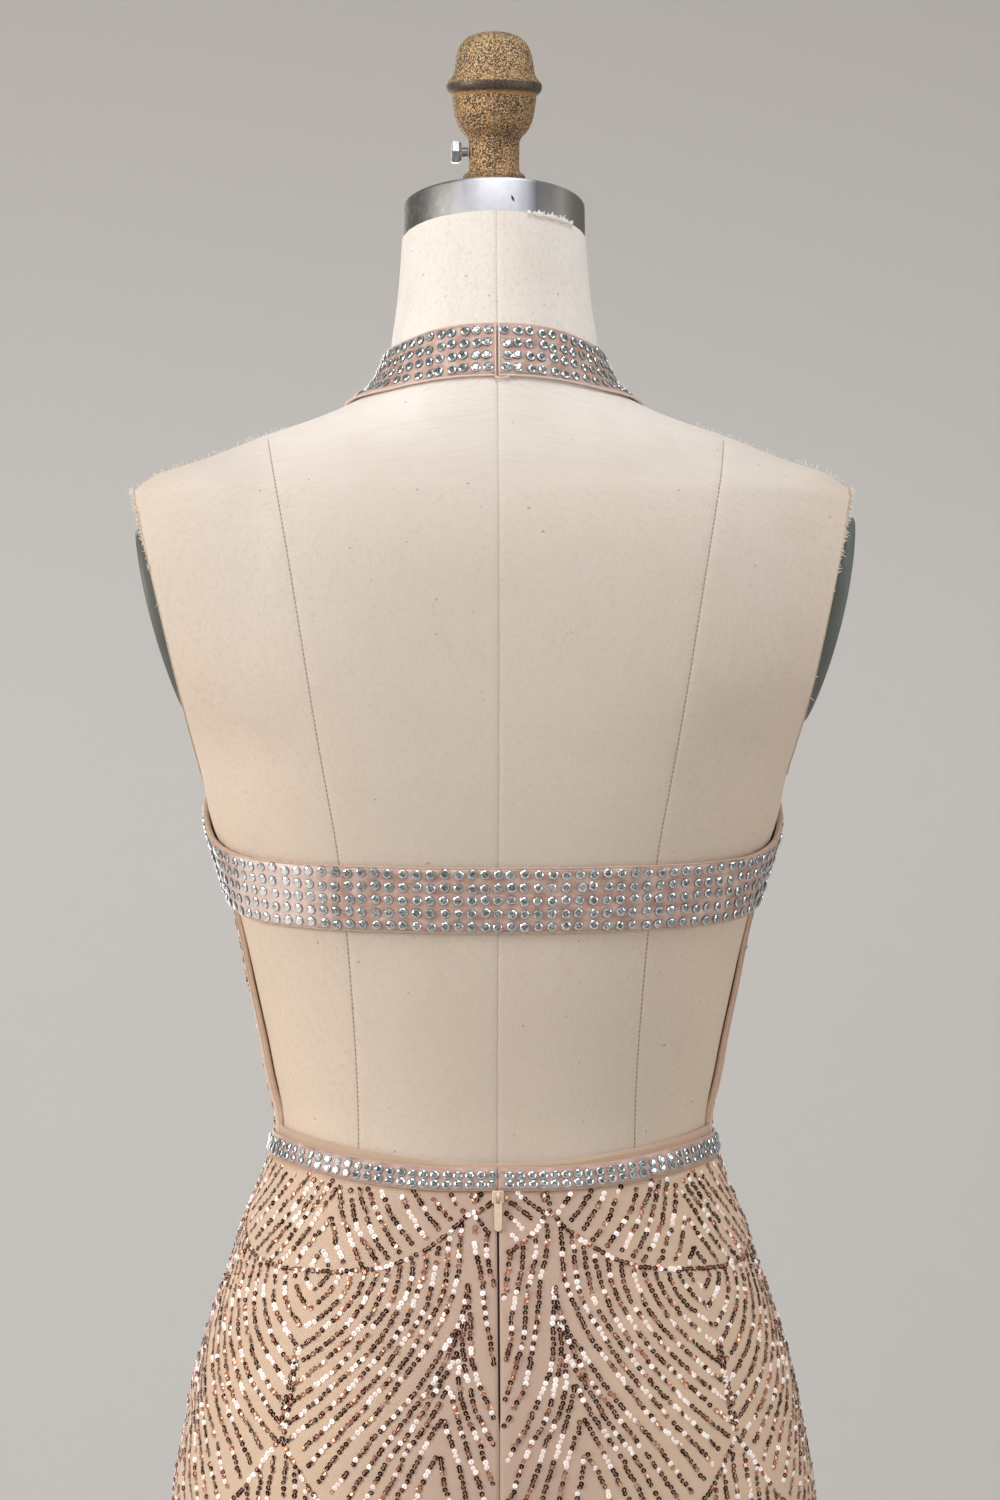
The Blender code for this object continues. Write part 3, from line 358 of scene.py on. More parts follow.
HEIGHTS = column(FIGURE, FIGURE_COLUMNS, "height")
SECTIONS = {name: column(FIGURE, FIGURE_COLUMNS, name) for name in FIGURE_COLUMNS[1:]}


def section(height, name):
    return smooth(height, HEIGHTS, SECTIONS[name])


def bust(x, height, bridge):
    """How far the front stands out over the mounds. bridge fills the hollow between them."""
    beyond = np.abs(x) - BUST_APART
    reach = np.where(height > BUST_HEIGHT, BUST_ABOVE, BUST_BELOW)
    upright = np.exp(-(((height - BUST_HEIGHT) / reach) ** 2))
    across = np.exp(-((beyond / BUST_ACROSS) ** 2))
    filled = np.where(beyond < 0, np.maximum(across, across + bridge * (1 - across)), across)
    return BUST_DEPTH * upright * filled


def flutes(angle, height):
    """How far the flared skirt stands out in its flutes."""
    total = np.zeros(np.broadcast(angle, height).shape)
    for row in FLUTES:
        flute = dict(zip(FLUTE_COLUMNS, row))
        turn = np.abs((angle - radians(flute["angle_deg"]) + pi) % (2 * pi) - pi)
        lobe = np.cos(np.minimum(turn / radians(flute["spread_deg"]), 1) * pi / 2) ** 2
        fall = ease((flute["top"] - height) / (flute["top"] - HEM_HEIGHT))
        total = total + flute["depth"] * lobe * fall**1.3
    return total


def figure(angle, height, bridge=0.0):
    """Points of the figure's skin, as arrays that end in x, y, z."""
    angle, height = np.broadcast_arrays(np.asarray(angle, float), np.asarray(height, float))
    middle = section(height, "middle")
    behind = np.cos(angle) > 0
    depth = np.where(behind, section(height, "back") - middle, middle - section(height, "front"))
    power = section(height, "squareness")
    across = np.abs(np.sin(angle)) / section(height, "half_width")
    along = np.abs(np.cos(angle)) / depth
    radius = (across**power + along**power) ** (-1 / power) + flutes(angle, height)
    x = radius * np.sin(angle)
    y = middle + radius * np.cos(angle)
    y = y - bust(x, height, bridge) * ease(-np.cos(angle) / BUST_FADES_BY)
    lean = ease((height - NECK_TILT_STARTS) / (NECK_TOP - NECK_TILT_STARTS))
    return np.stack([x, y, height + lean * tan(NECK_TILT) * y], axis=-1)


def unit(vectors):
    return vectors / np.maximum(np.linalg.norm(vectors, axis=-1, keepdims=True), 1e-12)


def outward(angle, height, bridge=BRIDGE):
    """Unit normals of the figure's skin."""
    turn, rise = 0.02, 0.003
    around = figure(angle + turn, height, bridge) - figure(angle - turn, height, bridge)
    up = figure(angle, height + rise, bridge) - figure(angle, height - rise, bridge)
    return unit(np.cross(up, around))


def cloth(angle, height, out):
    """Points that stand out from the figure by a distance."""
    return figure(angle, height, BRIDGE) + np.asarray(out)[..., None] * outward(angle, height)


def angle_of(points):
    """The angle at which the figure's skin is met by points near it."""
    return np.arctan2(points[..., 0], points[..., 1] - section(points[..., 2], "middle"))


def waist(angle):
    """Height of the waist seam: it dips at centre back and centre front."""
    back = np.where(np.cos(angle) > 0, 1 - np.sin(angle) ** 4, 0)
    front = np.clip(-np.cos(angle), 0, 1) ** 2
    return WAIST_HEIGHT - WAIST_DIP_BACK * back - WAIST_DIP_FRONT * front


# ---- Meshes -------------------------------------------------------------------------------------------


def quads(grid):
    """Four-cornered faces over a grid of vertex numbers."""
    corners = (grid[:-1, :-1], grid[:-1, 1:], grid[1:, 1:], grid[1:, :-1])
    return np.stack([corner.reshape(-1) for corner in corners], axis=-1)


def mesh_of(name, points, faces, finishes, smooth_faces=True):
    mesh = bpy.data.meshes.new(name)
    mesh.from_pydata(np.asarray(points).tolist(), [], [list(face) for face in faces])
    for finish in finishes:
        mesh.materials.append(finish)
    if smooth_faces:
        mesh.shade_smooth()
    else:
        mesh.shade_flat()
    return mesh


def put(name, mesh, replaced=(), body=BODY):
    """The mesh as a piece that rides on its body and stands for its CAD nodes."""
    item = bpy.data.objects.new(name, mesh)
    bpy.context.scene.collection.objects.link(item)
    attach(item, body)
    if replaced:
        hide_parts(*replaced)
    return item


def lay_uv(mesh, places):
    """A map of the cloth's own measures, in metres."""
    layer = mesh.uv_layers.new(name="cloth")
    corners = np.empty(len(mesh.loops), int)
    mesh.loops.foreach_get("vertex_index", corners)
    layer.data.foreach_set("uv", places[corners].astype(np.float32).ravel())


def measures(points):
    """For a grid of points, how far each lies along its row and down its column."""
    along = np.linalg.norm(np.diff(points, axis=1), axis=-1).cumsum(axis=1)
    along = np.pad(along, ((0, 0), (1, 0)))
    down = np.linalg.norm(np.diff(points, axis=0), axis=-1).cumsum(axis=0)
    down = np.pad(down, ((1, 0), (0, 0)))
    along = along - along[:, along.shape[1] // 2, None]
    return np.stack([along, down], axis=-1)


def wall_mesh(name, points, normals, faces, wall, finishes, uv):
    """A closed cloth wall on a sheet: outer face first, then its inner face and rims as the lining."""
    count = len(points)
    a, b, c = (points[faces[:, i]] for i in (0, 1, 2))
    if (np.cross(b - a, c - b) * normals[faces[:, 0]]).sum() < 0:
        faces = faces[:, ::-1]
    edges = np.concatenate([faces[:, [i, (i + 1) % 4]] for i in range(4)])
    keys = {tuple(edge) for edge in edges.tolist()}
    rims = np.array([edge for edge in edges.tolist() if (edge[1], edge[0]) not in keys])
    rim_faces = np.stack([rims[:, 1], rims[:, 0], rims[:, 0] + count, rims[:, 1] + count], axis=-1)
    every = np.concatenate([faces, faces[:, ::-1] + count, rim_faces])
    mesh = mesh_of(name, np.concatenate([points + wall * normals, points]), every, finishes)
    slots = np.zeros(len(every), int)
    slots[len(faces):] = min(1, len(finishes) - 1)
    mesh.polygons.foreach_set("material_index", slots)
    lay_uv(mesh, np.concatenate([uv, uv]))
    return mesh


def grid_wall(name, points, normals, wall, finishes):
    """The same from rows and columns of points. It also gives the surface that trimmings sit on."""
    rows, columns = points.shape[:2]
    faces = quads(np.arange(rows * columns).reshape(rows, columns))
    flat, flat_normals = points.reshape(-1, 3), normals.reshape(-1, 3)
    mesh = wall_mesh(name, flat, flat_normals, faces, wall, finishes, measures(points).reshape(-1, 2))
    return mesh, Surface(flat + wall * flat_normals, faces, flat_normals)


class Surface:
    """The outer face of a cloth, on which sequins and stones are set down."""

    def __init__(self, points, faces, normals):
        a, b, c = (points[faces[:, i]] for i in (0, 1, 2))
        if (np.cross(b - a, c - b) * normals[faces[:, 0]]).sum() < 0:
            faces = faces[:, ::-1]
        self.tree = BVHTree.FromPolygons(points.tolist(), faces.tolist())

    def settle(self, points, lift):
        """The nearest places on the cloth, lifted off it, and its normals there."""
        spots, normals = np.empty_like(points), np.empty_like(points)
        for i, point in enumerate(points.tolist()):
            spot, normal, *_ = self.tree.find_nearest(point)
            spots[i], normals[i] = spot, normal
        return spots + lift * normals, normals

    def away(self, points):
        return np.array([self.tree.find_nearest(point)[3] for point in points.tolist()])


def scattered(name, shape, faces, places, normals, along, sizes, tones, finish):
    """Many copies of one small shape in one mesh. Every point carries its copy's tone."""
    across = unit(np.cross(normals, along))
    along = unit(np.cross(across, normals))
    shape = np.asarray(shape, float)
    turned = (
        shape[None, :, 0:1] * along[:, None]
        + shape[None, :, 1:2] * across[:, None]
        + shape[None, :, 2:3] * normals[:, None]
    )
    points = (places[:, None] + sizes[:, None, None] * turned).reshape(-1, 3)
    starts = np.arange(len(places))[:, None] * len(shape)
    every = []
    for corners in sorted({len(face) for face in faces}):
        ones = np.array([face for face in faces if len(face) == corners])
        every += (starts[:, None] + ones[None]).reshape(-1, corners).tolist()
    mesh = mesh_of(name, points, every, [finish], smooth_faces=False)
    tone = mesh.attributes.new("tone", "FLOAT", "POINT")
    tone.data.foreach_set("value", np.repeat(tones, len(shape)).astype(np.float32))
    crown = mesh.attributes.new("crown", "FLOAT", "POINT")
    crown.data.foreach_set("value", np.tile(shape[:, 2], len(places)).astype(np.float32))
    return mesh


def tube(path, radius, sides=6, facing=None, closed=False):
    """Points and faces of a round tube along a path. facing gives a direction that its first side keeps."""
    path = np.asarray(path, float)
    ahead = np.roll(path, -1, axis=0) - np.roll(path, 1, axis=0) if closed else np.gradient(path, axis=0)
    ahead = unit(ahead)
    facing = np.broadcast_to(np.asarray((0.0, 0.0, 1.0) if facing is None else facing), path.shape)
    side = unit(np.cross(ahead, facing))
    up = np.cross(side, ahead)
    turns = np.linspace(0, 2 * pi, sides, endpoint=False)
    radius = np.broadcast_to(radius, len(path))[:, None, None]
    rings = path[:, None] + radius * (
        np.cos(turns)[None, :, None] * side[:, None] + np.sin(turns)[None, :, None] * up[:, None]
    )
    numbers = np.arange(len(path) * sides).reshape(len(path), sides)
    grid = np.concatenate([numbers, numbers[:, :1]], axis=1)
    if closed:
        grid = np.concatenate([grid, grid[:1]])
        return rings.reshape(-1, 3), quads(grid)[:, ::-1].tolist()
    caps = [numbers[0].tolist(), numbers[-1, ::-1].tolist()]
    return rings.reshape(-1, 3), quads(grid)[:, ::-1].tolist() + caps


def joined(parts):
    """Several (points, faces) as one."""
    points, faces, count = [], [], 0
    for spots, corners in parts:
        points.append(np.asarray(spots, float))
        faces += [[count + corner for corner in face] for face in corners]
        count += len(spots)
    return np.concatenate(points), faces


def turned(profile, steps, stretch=(1.0, 1.0)):
    """A profile of (radius, height) turned about Z, with the axis's points as single corners."""
    turns = np.linspace(0, 2 * pi, steps, endpoint=False)
    points, rows, faces = [], [], []
    for radius, height in profile:
        if radius < 1e-6:
            rows.append([len(points)])
            points.append((0.0, 0.0, height))
            continue
        rows.append(list(range(len(points), len(points) + steps)))
        points += [(radius * cos(t) * stretch[0], radius * sin(t) * stretch[1], height) for t in turns]
    for low, high in zip(rows, rows[1:]):
        for i in range(steps):
            j = (i + 1) % steps
            ring = (low[i % len(low)], low[j % len(low)], high[j % len(high)], high[i % len(high)])
            face = [corner for k, corner in enumerate(ring) if corner != ring[k - 1]]
            if len(face) > 2:
                faces.append(face)
    return np.array(points), faces


def set_right(mesh):
    """All faces of a closed mesh look outwards."""
    shape = bmesh.new()
    shape.from_mesh(mesh)
    bmesh.ops.recalc_face_normals(shape, faces=shape.faces)
    shape.to_mesh(mesh)
    shape.free()
    return mesh


def put_solid(name, points, faces, finish, slot, replaced=(), smooth_faces=True):
    """A closed solid as a piece, with all its faces looking outwards."""
    mesh = mesh_of(name, points, faces, [finish], smooth_faces)
    return put(name, set_right(mesh), replaced)


def placed(points, turn_y=0.0, turn_x=0.0, to=(0, 0, 0)):
    """The points turned about Y, then about X, and moved."""
    turn = Matrix.Rotation(turn_x, 3, "X") @ Matrix.Rotation(turn_y, 3, "Y")
    return points @ np.array(turn).T + np.array(to)


def repaint(names, finish):
    """Gives CAD nodes that show as they are their finish."""
    for name in names:
        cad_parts[name].data.materials.clear()
        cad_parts[name].data.materials.append(finish)


# ---- Finishes -----------------------------------------------------------------------------------------


class Value:
    """A number that changes over a surface. Arithmetic on it adds Math nodes."""

    def __init__(self, paint, socket):
        self.paint, self.socket = paint, socket

    def __add__(self, other):
        return self.paint.maths("ADD", self, other)

    def __sub__(self, other):
        return self.paint.maths("SUBTRACT", self, other)

    def __rsub__(self, other):
        return self.paint.maths("SUBTRACT", other, self)

    def __mul__(self, other):
        return self.paint.maths("MULTIPLY", self, other)

    def __truediv__(self, other):
        return self.paint.maths("DIVIDE", self, other)

    def __pow__(self, other):
        return self.paint.maths("POWER", self, other)

    def __abs__(self):
        return self.paint.maths("ABSOLUTE", self)

    __radd__ = __add__
    __rmul__ = __mul__


class Paint:
    """A material made of nodes."""

    def __init__(self, name, **constants):
        self.material = bpy.data.materials.new(name)
        self.material.use_nodes = True
        self.tree = self.material.node_tree
        self.shader = self.tree.nodes["Principled BSDF"]
        self.feed(self.shader, {key.replace("_", " "): value for key, value in constants.items()})

    def feed(self, node, values):
        for key, value in values.items():
            socket = node.inputs[key]
            if isinstance(value, Value):
                self.tree.links.new(value.socket, socket)
            elif socket.type == "RGBA" and len(value) == 3:
                socket.default_value = (*value, 1.0)
            else:
                socket.default_value = value

    def node(self, kind, settings=None, values=None):
        """A node of a type, with its settings and the values or links of its sockets."""
        made = self.tree.nodes.new(kind)
        for key, value in (settings or {}).items():
            if key == "stops":
                ramp = made.color_ramp.elements
                while len(ramp) < len(value):
                    ramp.new(1.0)
                for element, (place, colour) in zip(ramp, value):
                    element.position, element.color = place, (*colour, 1.0)
            else:
                setattr(made, key, value)
        self.feed(made, values or {})
        return made

    def out(self, node, name=0):
        return Value(self, node.outputs[name])

    def maths(self, operation, *values):
        return self.out(self.node("ShaderNodeMath", {"operation": operation}, dict(enumerate(values))))

    def step(self, value, start, end):
        """0 before start and 1 after end, with a soft rise between."""
        settings = {"interpolation_type": "SMOOTHSTEP", "clamp": True}
        sockets = {"Value": value, "From Min": start, "From Max": end}
        return self.out(self.node("ShaderNodeMapRange", settings, sockets), "Result")

    def blend(self, share, one, other):
        """From one colour to the other."""
        return self.out(self.node("ShaderNodeMix", {"data_type": "RGBA"}, {0: share, 6: one, 7: other}), 2)

    def place(self):
        """The object's own coordinates, in metres."""
        return self.out(self.node("ShaderNodeTexCoord"), "Object")

    def cloth_map(self):
        return self.out(self.node("ShaderNodeUVMap", {"uv_map": "cloth"}))

    def split(self, vector):
        parts = self.node("ShaderNodeSeparateXYZ", None, {0: vector})
        return [self.out(parts, i) for i in range(3)]

    def tone(self, name="tone"):
        return self.out(self.node("ShaderNodeAttribute", {"attribute_name": name}), "Fac")

    def noise(self, vector, scale, detail=3.0, rough=0.55):
        sockets = {"Vector": vector, "Scale": scale, "Detail": detail, "Roughness": rough}
        return self.out(self.node("ShaderNodeTexNoise", None, sockets), 0)

    def stretched(self, vector, scale):
        """The vector with each part scaled."""
        settings = {"operation": "MULTIPLY"}
        return self.out(self.node("ShaderNodeVectorMath", settings, {0: vector, 1: scale}))

    def ramp(self, value, *stops):
        return self.out(self.node("ShaderNodeValToRGB", {"stops": stops}, {0: value}))

    def wave(self, value, period):
        """0 to 1 and back once a period."""
        return self.maths("SINE", value * (2 * pi / period)) * 0.5 + 0.5

    def finish(self, colour=None, rough=None, metallic=None, height=None, depth=0.0002, painted_glow=None):
        """Feeds what varies to the shader, and gives the material."""
        fed = {"Base Color": colour, "Roughness": rough, "Metallic": metallic, "Emission Color": painted_glow}
        self.feed(self.shader, {key: value for key, value in fed.items() if value is not None})
        if height is not None:
            bump = self.node("ShaderNodeBump", None, {"Height": height, "Distance": depth, "Strength": 1.0})
            self.tree.links.new(bump.outputs[0], self.shader.inputs["Normal"])
        return self.material


def canvas_finish():
    """Warm off-white twill, paler at the neck, warmer at the sides, with painted shade over the middle and
    low back and a patch on the left, and fine seams.
    """
    paint = Paint("form_canvas", Roughness=0.9, Sheen_Weight=0.15, Sheen_Roughness=0.5)
    spot = paint.cloth_map()
    u, v, _ = paint.split(spot)
    twill = paint.wave(u + v * 0.08, 0.00132) - 0.5
    twill = twill * (paint.wave(v, 0.00210) - 0.5) * 2.0 + 0.5
    grain = paint.noise(paint.stretched(spot, (520.0, 330.0, 1.0)), 1.0, 2.0)
    streaks = paint.noise(paint.stretched(spot, (190.0, 22.0, 1.0)), 1.0, 3.0)
    slubs = paint.noise(paint.stretched(spot, (900.0, 160.0, 1.0)), 1.0, 2.0)
    mottle = paint.noise(paint.place(), 11.0, 4.0)
    stain = paint.step(paint.noise(paint.place(), 30.0, 4.0), 0.50, 0.72)
    away = paint.tone("from_seam")
    line = 1.0 - paint.step(away, 0.00018, 0.00055)
    stitch = paint.step(paint.wave(v, 0.0026), 0.35, 0.6)
    x, _, z = paint.split(paint.place())
    shoulder = 1.42
    edge = z * tan(ARM_PLANE_LEAN) + (ARM_PLANE_X - ARM_PLANE_Z * tan(ARM_PLANE_LEAN))
    lower = 1.0 - paint.step(z, 1.24, shoulder)
    warm = (1.0 - paint.step(edge - abs(x), 0.004, 0.055)) * (0.50 + lower * 0.50)
    warm = paint.maths("MAXIMUM", warm, lower * paint.step(abs(x), 0.05, 0.14) * 0.85)
    strong = 0.25 + paint.step(abs(x), 0.008, 0.03) * 0.75
    colour = paint.blend(paint.step(z, 1.10, shoulder), (0.850, 0.710, 0.585), (0.905, 0.810, 0.735))
    colour = paint.blend(paint.step(z, shoulder, 1.52), colour, (1.0, 0.945, 0.885))
    colour = paint.blend(mottle * 0.35, colour, (0.740, 0.635, 0.535))
    colour = paint.blend(warm * 0.65, colour, (0.960, 0.735, 0.530))
    colour = paint.blend(stain * 0.12, colour, (0.600, 0.470, 0.360))
    # Painted shade: the middle back, the low back and a patch on the left side of the back at armhole height
    # are painted darker, where less light falls.
    mid_back_shade = 1.0 - paint.step(abs(x + 0.022), 0.06, 0.19)
    mid_back_shade = mid_back_shade * (1.0 - paint.step(abs(z - 1.310), 0.07, 0.16))
    low_back_shade = (1.0 - paint.step(abs(x + 0.035), 0.040, 0.115)) * (1.0 - paint.step(z, 1.10, 1.27))
    tip = paint.step(x, 0.110, 0.150) * paint.step(z, 1.32, 1.38) * 0.24
    painted_shade = paint.maths("MAXIMUM", paint.maths("MAXIMUM", mid_back_shade * 0.46, low_back_shade * 0.44), tip)
    colour = paint.blend(painted_shade, colour, (0.560, 0.480, 0.405))
    round_neck = paint.step(z, 1.455, 1.485) * paint.step(abs(x), 0.022, 0.048)
    relief = 0.56 - round_neck * 0.30 - paint.step(z, shoulder, 1.46) * 0.14
    weave = (twill * 0.70 + slubs * 0.30) * relief
    colour = paint.blend(weave, colour, (0.500, 0.405, 0.315))
    colour = paint.blend(paint.step(grain, 0.46, 0.72) * 0.20, colour, (0.480, 0.385, 0.300))
    colour = paint.blend(paint.step(streaks, 0.50, 0.75) * 0.12, colour, (0.520, 0.425, 0.335))
    specks = paint.step(paint.noise(paint.place(), 310.0, 1.0), 0.775, 0.800)
    colour = paint.blend(specks * 0.55, colour, (0.200, 0.150, 0.110))
    colour = paint.blend(line * (stitch * 0.45 + 0.30) * strong, colour, (0.200, 0.105, 0.060))
    height = twill * 0.5 + slubs * 0.5 - line * 1.2
    return paint.finish(colour=colour, height=height, depth=0.00013)


def flecked(name, scale, colours, detail=(), gloss=None, relief=0.0002, **constants):
    """A plain finish whose colour, gloss and height all follow one noise over the object."""
    paint = Paint(name, **constants)
    spot = paint.place()
    if isinstance(scale, tuple):
        spot, scale = paint.stretched(spot, scale), 1.0
    fleck = paint.noise(spot, scale, *detail)
    rough = None if gloss is None else gloss[0] + fleck * gloss[1]
    height = fleck if relief else None
    return paint.finish(colour=paint.blend(fleck, *colours), rough=rough, height=height, depth=relief)


def satin_finish():
    """Dusty rose satin, with soft puckers between the stones, painted darker in their troughs and lighter on
    their ridges, and a painted highlight on the strap's left part.
    """
    paint = Paint(
        "rose_satin", Specular_IOR_Level=0.6, Sheen_Weight=0.35, Sheen_Roughness=0.3,
        Sheen_Tint=(1.0, 0.86, 0.80), Anisotropic=0.45,
    )  # fmt: skip
    spot = paint.cloth_map()
    pucker = paint.noise(paint.stretched(spot, (110.0, 190.0, 1.0)), 1.0, 3.0)
    thread = paint.noise(paint.stretched(spot, (500.0, 4000.0, 1.0)), 1.0, 1.0)
    # Painted shade and light: the pucker noise that raises the satin also darkens its troughs and lightens
    # its ridges.
    colour = paint.ramp(pucker, (0.25, (0.360, 0.205, 0.160)), (0.50, (0.560, 0.370, 0.305)),
                        (0.80, (0.780, 0.620, 0.550)))  # fmt: skip
    x, _, z = paint.split(paint.place())
    # Painted highlight: a pale sheen on the strap's left part.
    painted_sheen = paint.step(x, 0.082, 0.115) * (1.0 - paint.step(x, 0.138, 0.152)) * paint.step(z, 1.12, 1.14)
    painted_sheen = painted_sheen * (1.0 - paint.step(z, 1.24, 1.28))
    colour = paint.blend(painted_sheen * 0.62, colour, (0.960, 0.800, 0.710))
    crumple = paint.step(z, 1.43, 1.45) * (1.0 - paint.step(abs(x), 0.010, 0.045))
    height = pucker * (1.0 + crumple) + thread * 0.12
    return paint.finish(colour=colour, rough=0.30 + thread * 0.14, height=height, depth=0.0009)


def binding_finish():
    """The narrow turned edges of the bands and the facing."""
    paint = Paint("edge_binding", Roughness=0.55, Sheen_Weight=0.3)
    fleck = paint.noise(paint.place(), 420.0, 2.0)
    _, _, z = paint.split(paint.place())
    colour = paint.blend(fleck, (0.46, 0.29, 0.20), (0.70, 0.50, 0.38))
    return paint.finish(colour=paint.blend(paint.step(z, 1.43, 1.47) * 0.60, colour, (0.90, 0.72, 0.66)),
                        height=fleck)  # fmt: skip


def net_finish():
    """Fine net over the nude lining: peach at the sides, more grey towards the centre lines, front and back.
    """
    paint = Paint("sequined_net", Roughness=0.72, Sheen_Weight=0.2)
    u, v, _ = paint.split(paint.cloth_map())
    rise = paint.wave(u + v * 0.62, 0.00118)
    fall = paint.wave(u * 0.62 - v, 0.00118)
    mesh = paint.maths("MAXIMUM", paint.step(rise, 0.62, 0.95), paint.step(fall, 0.62, 0.95))
    x, _, _ = paint.split(paint.place())
    side = paint.step(abs(x), 0.015, 0.115)
    drift = paint.noise(paint.place(), 14.0, 3.0)
    lining = paint.blend(side, (0.730, 0.525, 0.410), (1.0, 0.735, 0.520))
    lining = paint.blend(drift * 0.22, lining, (0.740, 0.530, 0.400))
    colour = paint.blend(mesh * 0.44, lining, (0.380, 0.230, 0.165))
    return paint.finish(colour=colour, height=mesh, depth=0.00018)


def lining_finish():
    paint = Paint("nude_lining", Roughness=0.7, Sheen_Weight=0.25)
    spot = paint.cloth_map()
    knit = paint.noise(paint.stretched(spot, (1500.0, 700.0, 1.0)), 1.0, 2.0)
    drift = paint.noise(paint.place(), 24.0, 2.0)
    colour = paint.blend(drift, (0.52, 0.355, 0.245), (0.64, 0.455, 0.330))
    colour = paint.blend(knit * 0.15, colour, (0.45, 0.30, 0.22))
    return paint.finish(colour=colour, height=knit, depth=0.00015)


def sequin_finish():
    """Cupped copper sequins with their reflections painted in: dark rims round a middle painted lighter, and
    others painted pale pink all over as glints, which glow faintly.
    """
    # Painted reflections: the tone picks near-black, copper or pale pink-white, the cupped middle is painted
    # lighter than the rim, and the palest glow faintly through the emission colour as painted glints.
    paint = Paint("copper_sequin", Specular_IOR_Level=0.30, Emission_Strength=0.22)
    tone = paint.tone()
    rim = paint.ramp(
        tone, (0.00, (0.010, 0.002, 0.001)), (0.20, (0.055, 0.012, 0.006)), (0.36, (0.330, 0.105, 0.052)),
        (0.72, (0.800, 0.360, 0.220)), (0.84, (1.0, 0.830, 0.760)), (1.00, (1.0, 0.98, 0.97)),
    )  # fmt: skip
    middle = paint.ramp(
        tone, (0.00, (0.110, 0.030, 0.015)), (0.20, (0.300, 0.120, 0.065)), (0.60, (0.780, 0.450, 0.330)),
        (0.84, (1.0, 0.86, 0.79)), (1.00, (1.0, 0.98, 0.97)),
    )  # fmt: skip
    lit = paint.step(paint.tone("crown"), 0.062, 0.098)
    pale = paint.step(tone, 0.80, 0.86)
    return paint.finish(colour=paint.blend(lit, rim, middle), rough=0.24 + pale * 0.2,
                        metallic=0.92 - pale * 0.74 - lit * 0.16,
                        painted_glow=paint.blend(pale, (0.0, 0.0, 0.0), (1.0, 0.95, 0.92)))  # fmt: skip


def crystal_finish():
    """Clear cut stones over foil, with their reflections painted in by height and tone: a dark edge, a
    bright ring and a table in greys.
    """
    paint = Paint("clear_stone", Roughness=0.14, Metallic=0.80, Coat_Weight=0.5, Coat_Roughness=0.05)
    tone = paint.tone()
    height = paint.tone("crown")
    # Painted reflections: the girdle is painted near-black, the table darker in split patches, and the tone
    # paints paler stones where they would catch the light.
    painted_dark_girdle = 1.0 - paint.step(height, 0.17, 0.26)
    table = paint.step(height, 0.36, 0.44)
    painted_table_split = paint.step(paint.noise(paint.place(), 900.0, 1.0), 0.40, 0.60)
    colour = paint.ramp(tone, (0.0, (0.52, 0.57, 0.58)), (0.5, (0.80, 0.85, 0.86)), (1.0, (1.0, 1.0, 1.0)))
    dark = table * (1.0 - paint.step(tone, 0.60, 0.95)) * (0.30 + painted_table_split * 0.60)
    colour = paint.blend(dark, colour, (0.110, 0.130, 0.130))
    return paint.finish(colour=paint.blend(painted_dark_girdle * 0.88, colour, (0.085, 0.090, 0.090)))


def brushed_finish():
    """Turned metal with soft upright bands of light and shade painted into its colour, fine lines round it
    and one small nick.
    """
    paint = Paint("brushed_cap", Metallic=0.75)
    spot = paint.place()
    x, y, z = paint.split(spot)
    share = (0.0513 - x) / 0.1026
    lines = paint.noise(paint.stretched(spot, (30.0, 30.0, 2600.0)), 1.0, 3.0)
    worn = paint.noise(paint.stretched(spot, (260.0, 260.0, 190.0)), 1.0, 4.0)
    # Painted reflections: light and dark upright bands by place across the cap.
    colour = paint.ramp(
        share, (0.02, (0.10, 0.095, 0.080)), (0.09, (0.15, 0.14, 0.13)), (0.15, (0.20, 0.19, 0.18)),
        (0.25, (0.21, 0.20, 0.19)), (0.31, (0.42, 0.42, 0.45)), (0.42, (0.80, 0.80, 0.87)),
        (0.61, (0.88, 0.88, 0.96)), (0.67, (0.60, 0.60, 0.66)), (0.72, (0.17, 0.17, 0.18)),
        (0.80, (0.26, 0.25, 0.23)), (0.86, (0.50, 0.47, 0.42)), (0.92, (0.31, 0.29, 0.26)),
        (0.99, (0.15, 0.14, 0.12)),
    )  # fmt: skip
    colour = paint.blend(lines * 0.22, colour, (0.30, 0.30, 0.31))
    patchy = paint.step(worn, 0.48, 0.66) * (0.44 - paint.step(share, 0.27, 0.40) * 0.36)
    colour = paint.blend(patchy, colour, (0.32, 0.305, 0.28))
    slant = x + 0.0092 - (z - 1.6005) * 0.35
    nick = paint.maths("SQRT", slant**2.0 + ((z - 1.6005) * 0.42) ** 2.0 + paint.step(y, 0.02, 0.0))
    colour = paint.blend(1.0 - paint.step(nick, 0.0005, 0.0009), colour, (0.05, 0.04, 0.04))
    return paint.finish(colour=colour, rough=0.40 + lines * 0.14, height=lines, depth=0.00004)


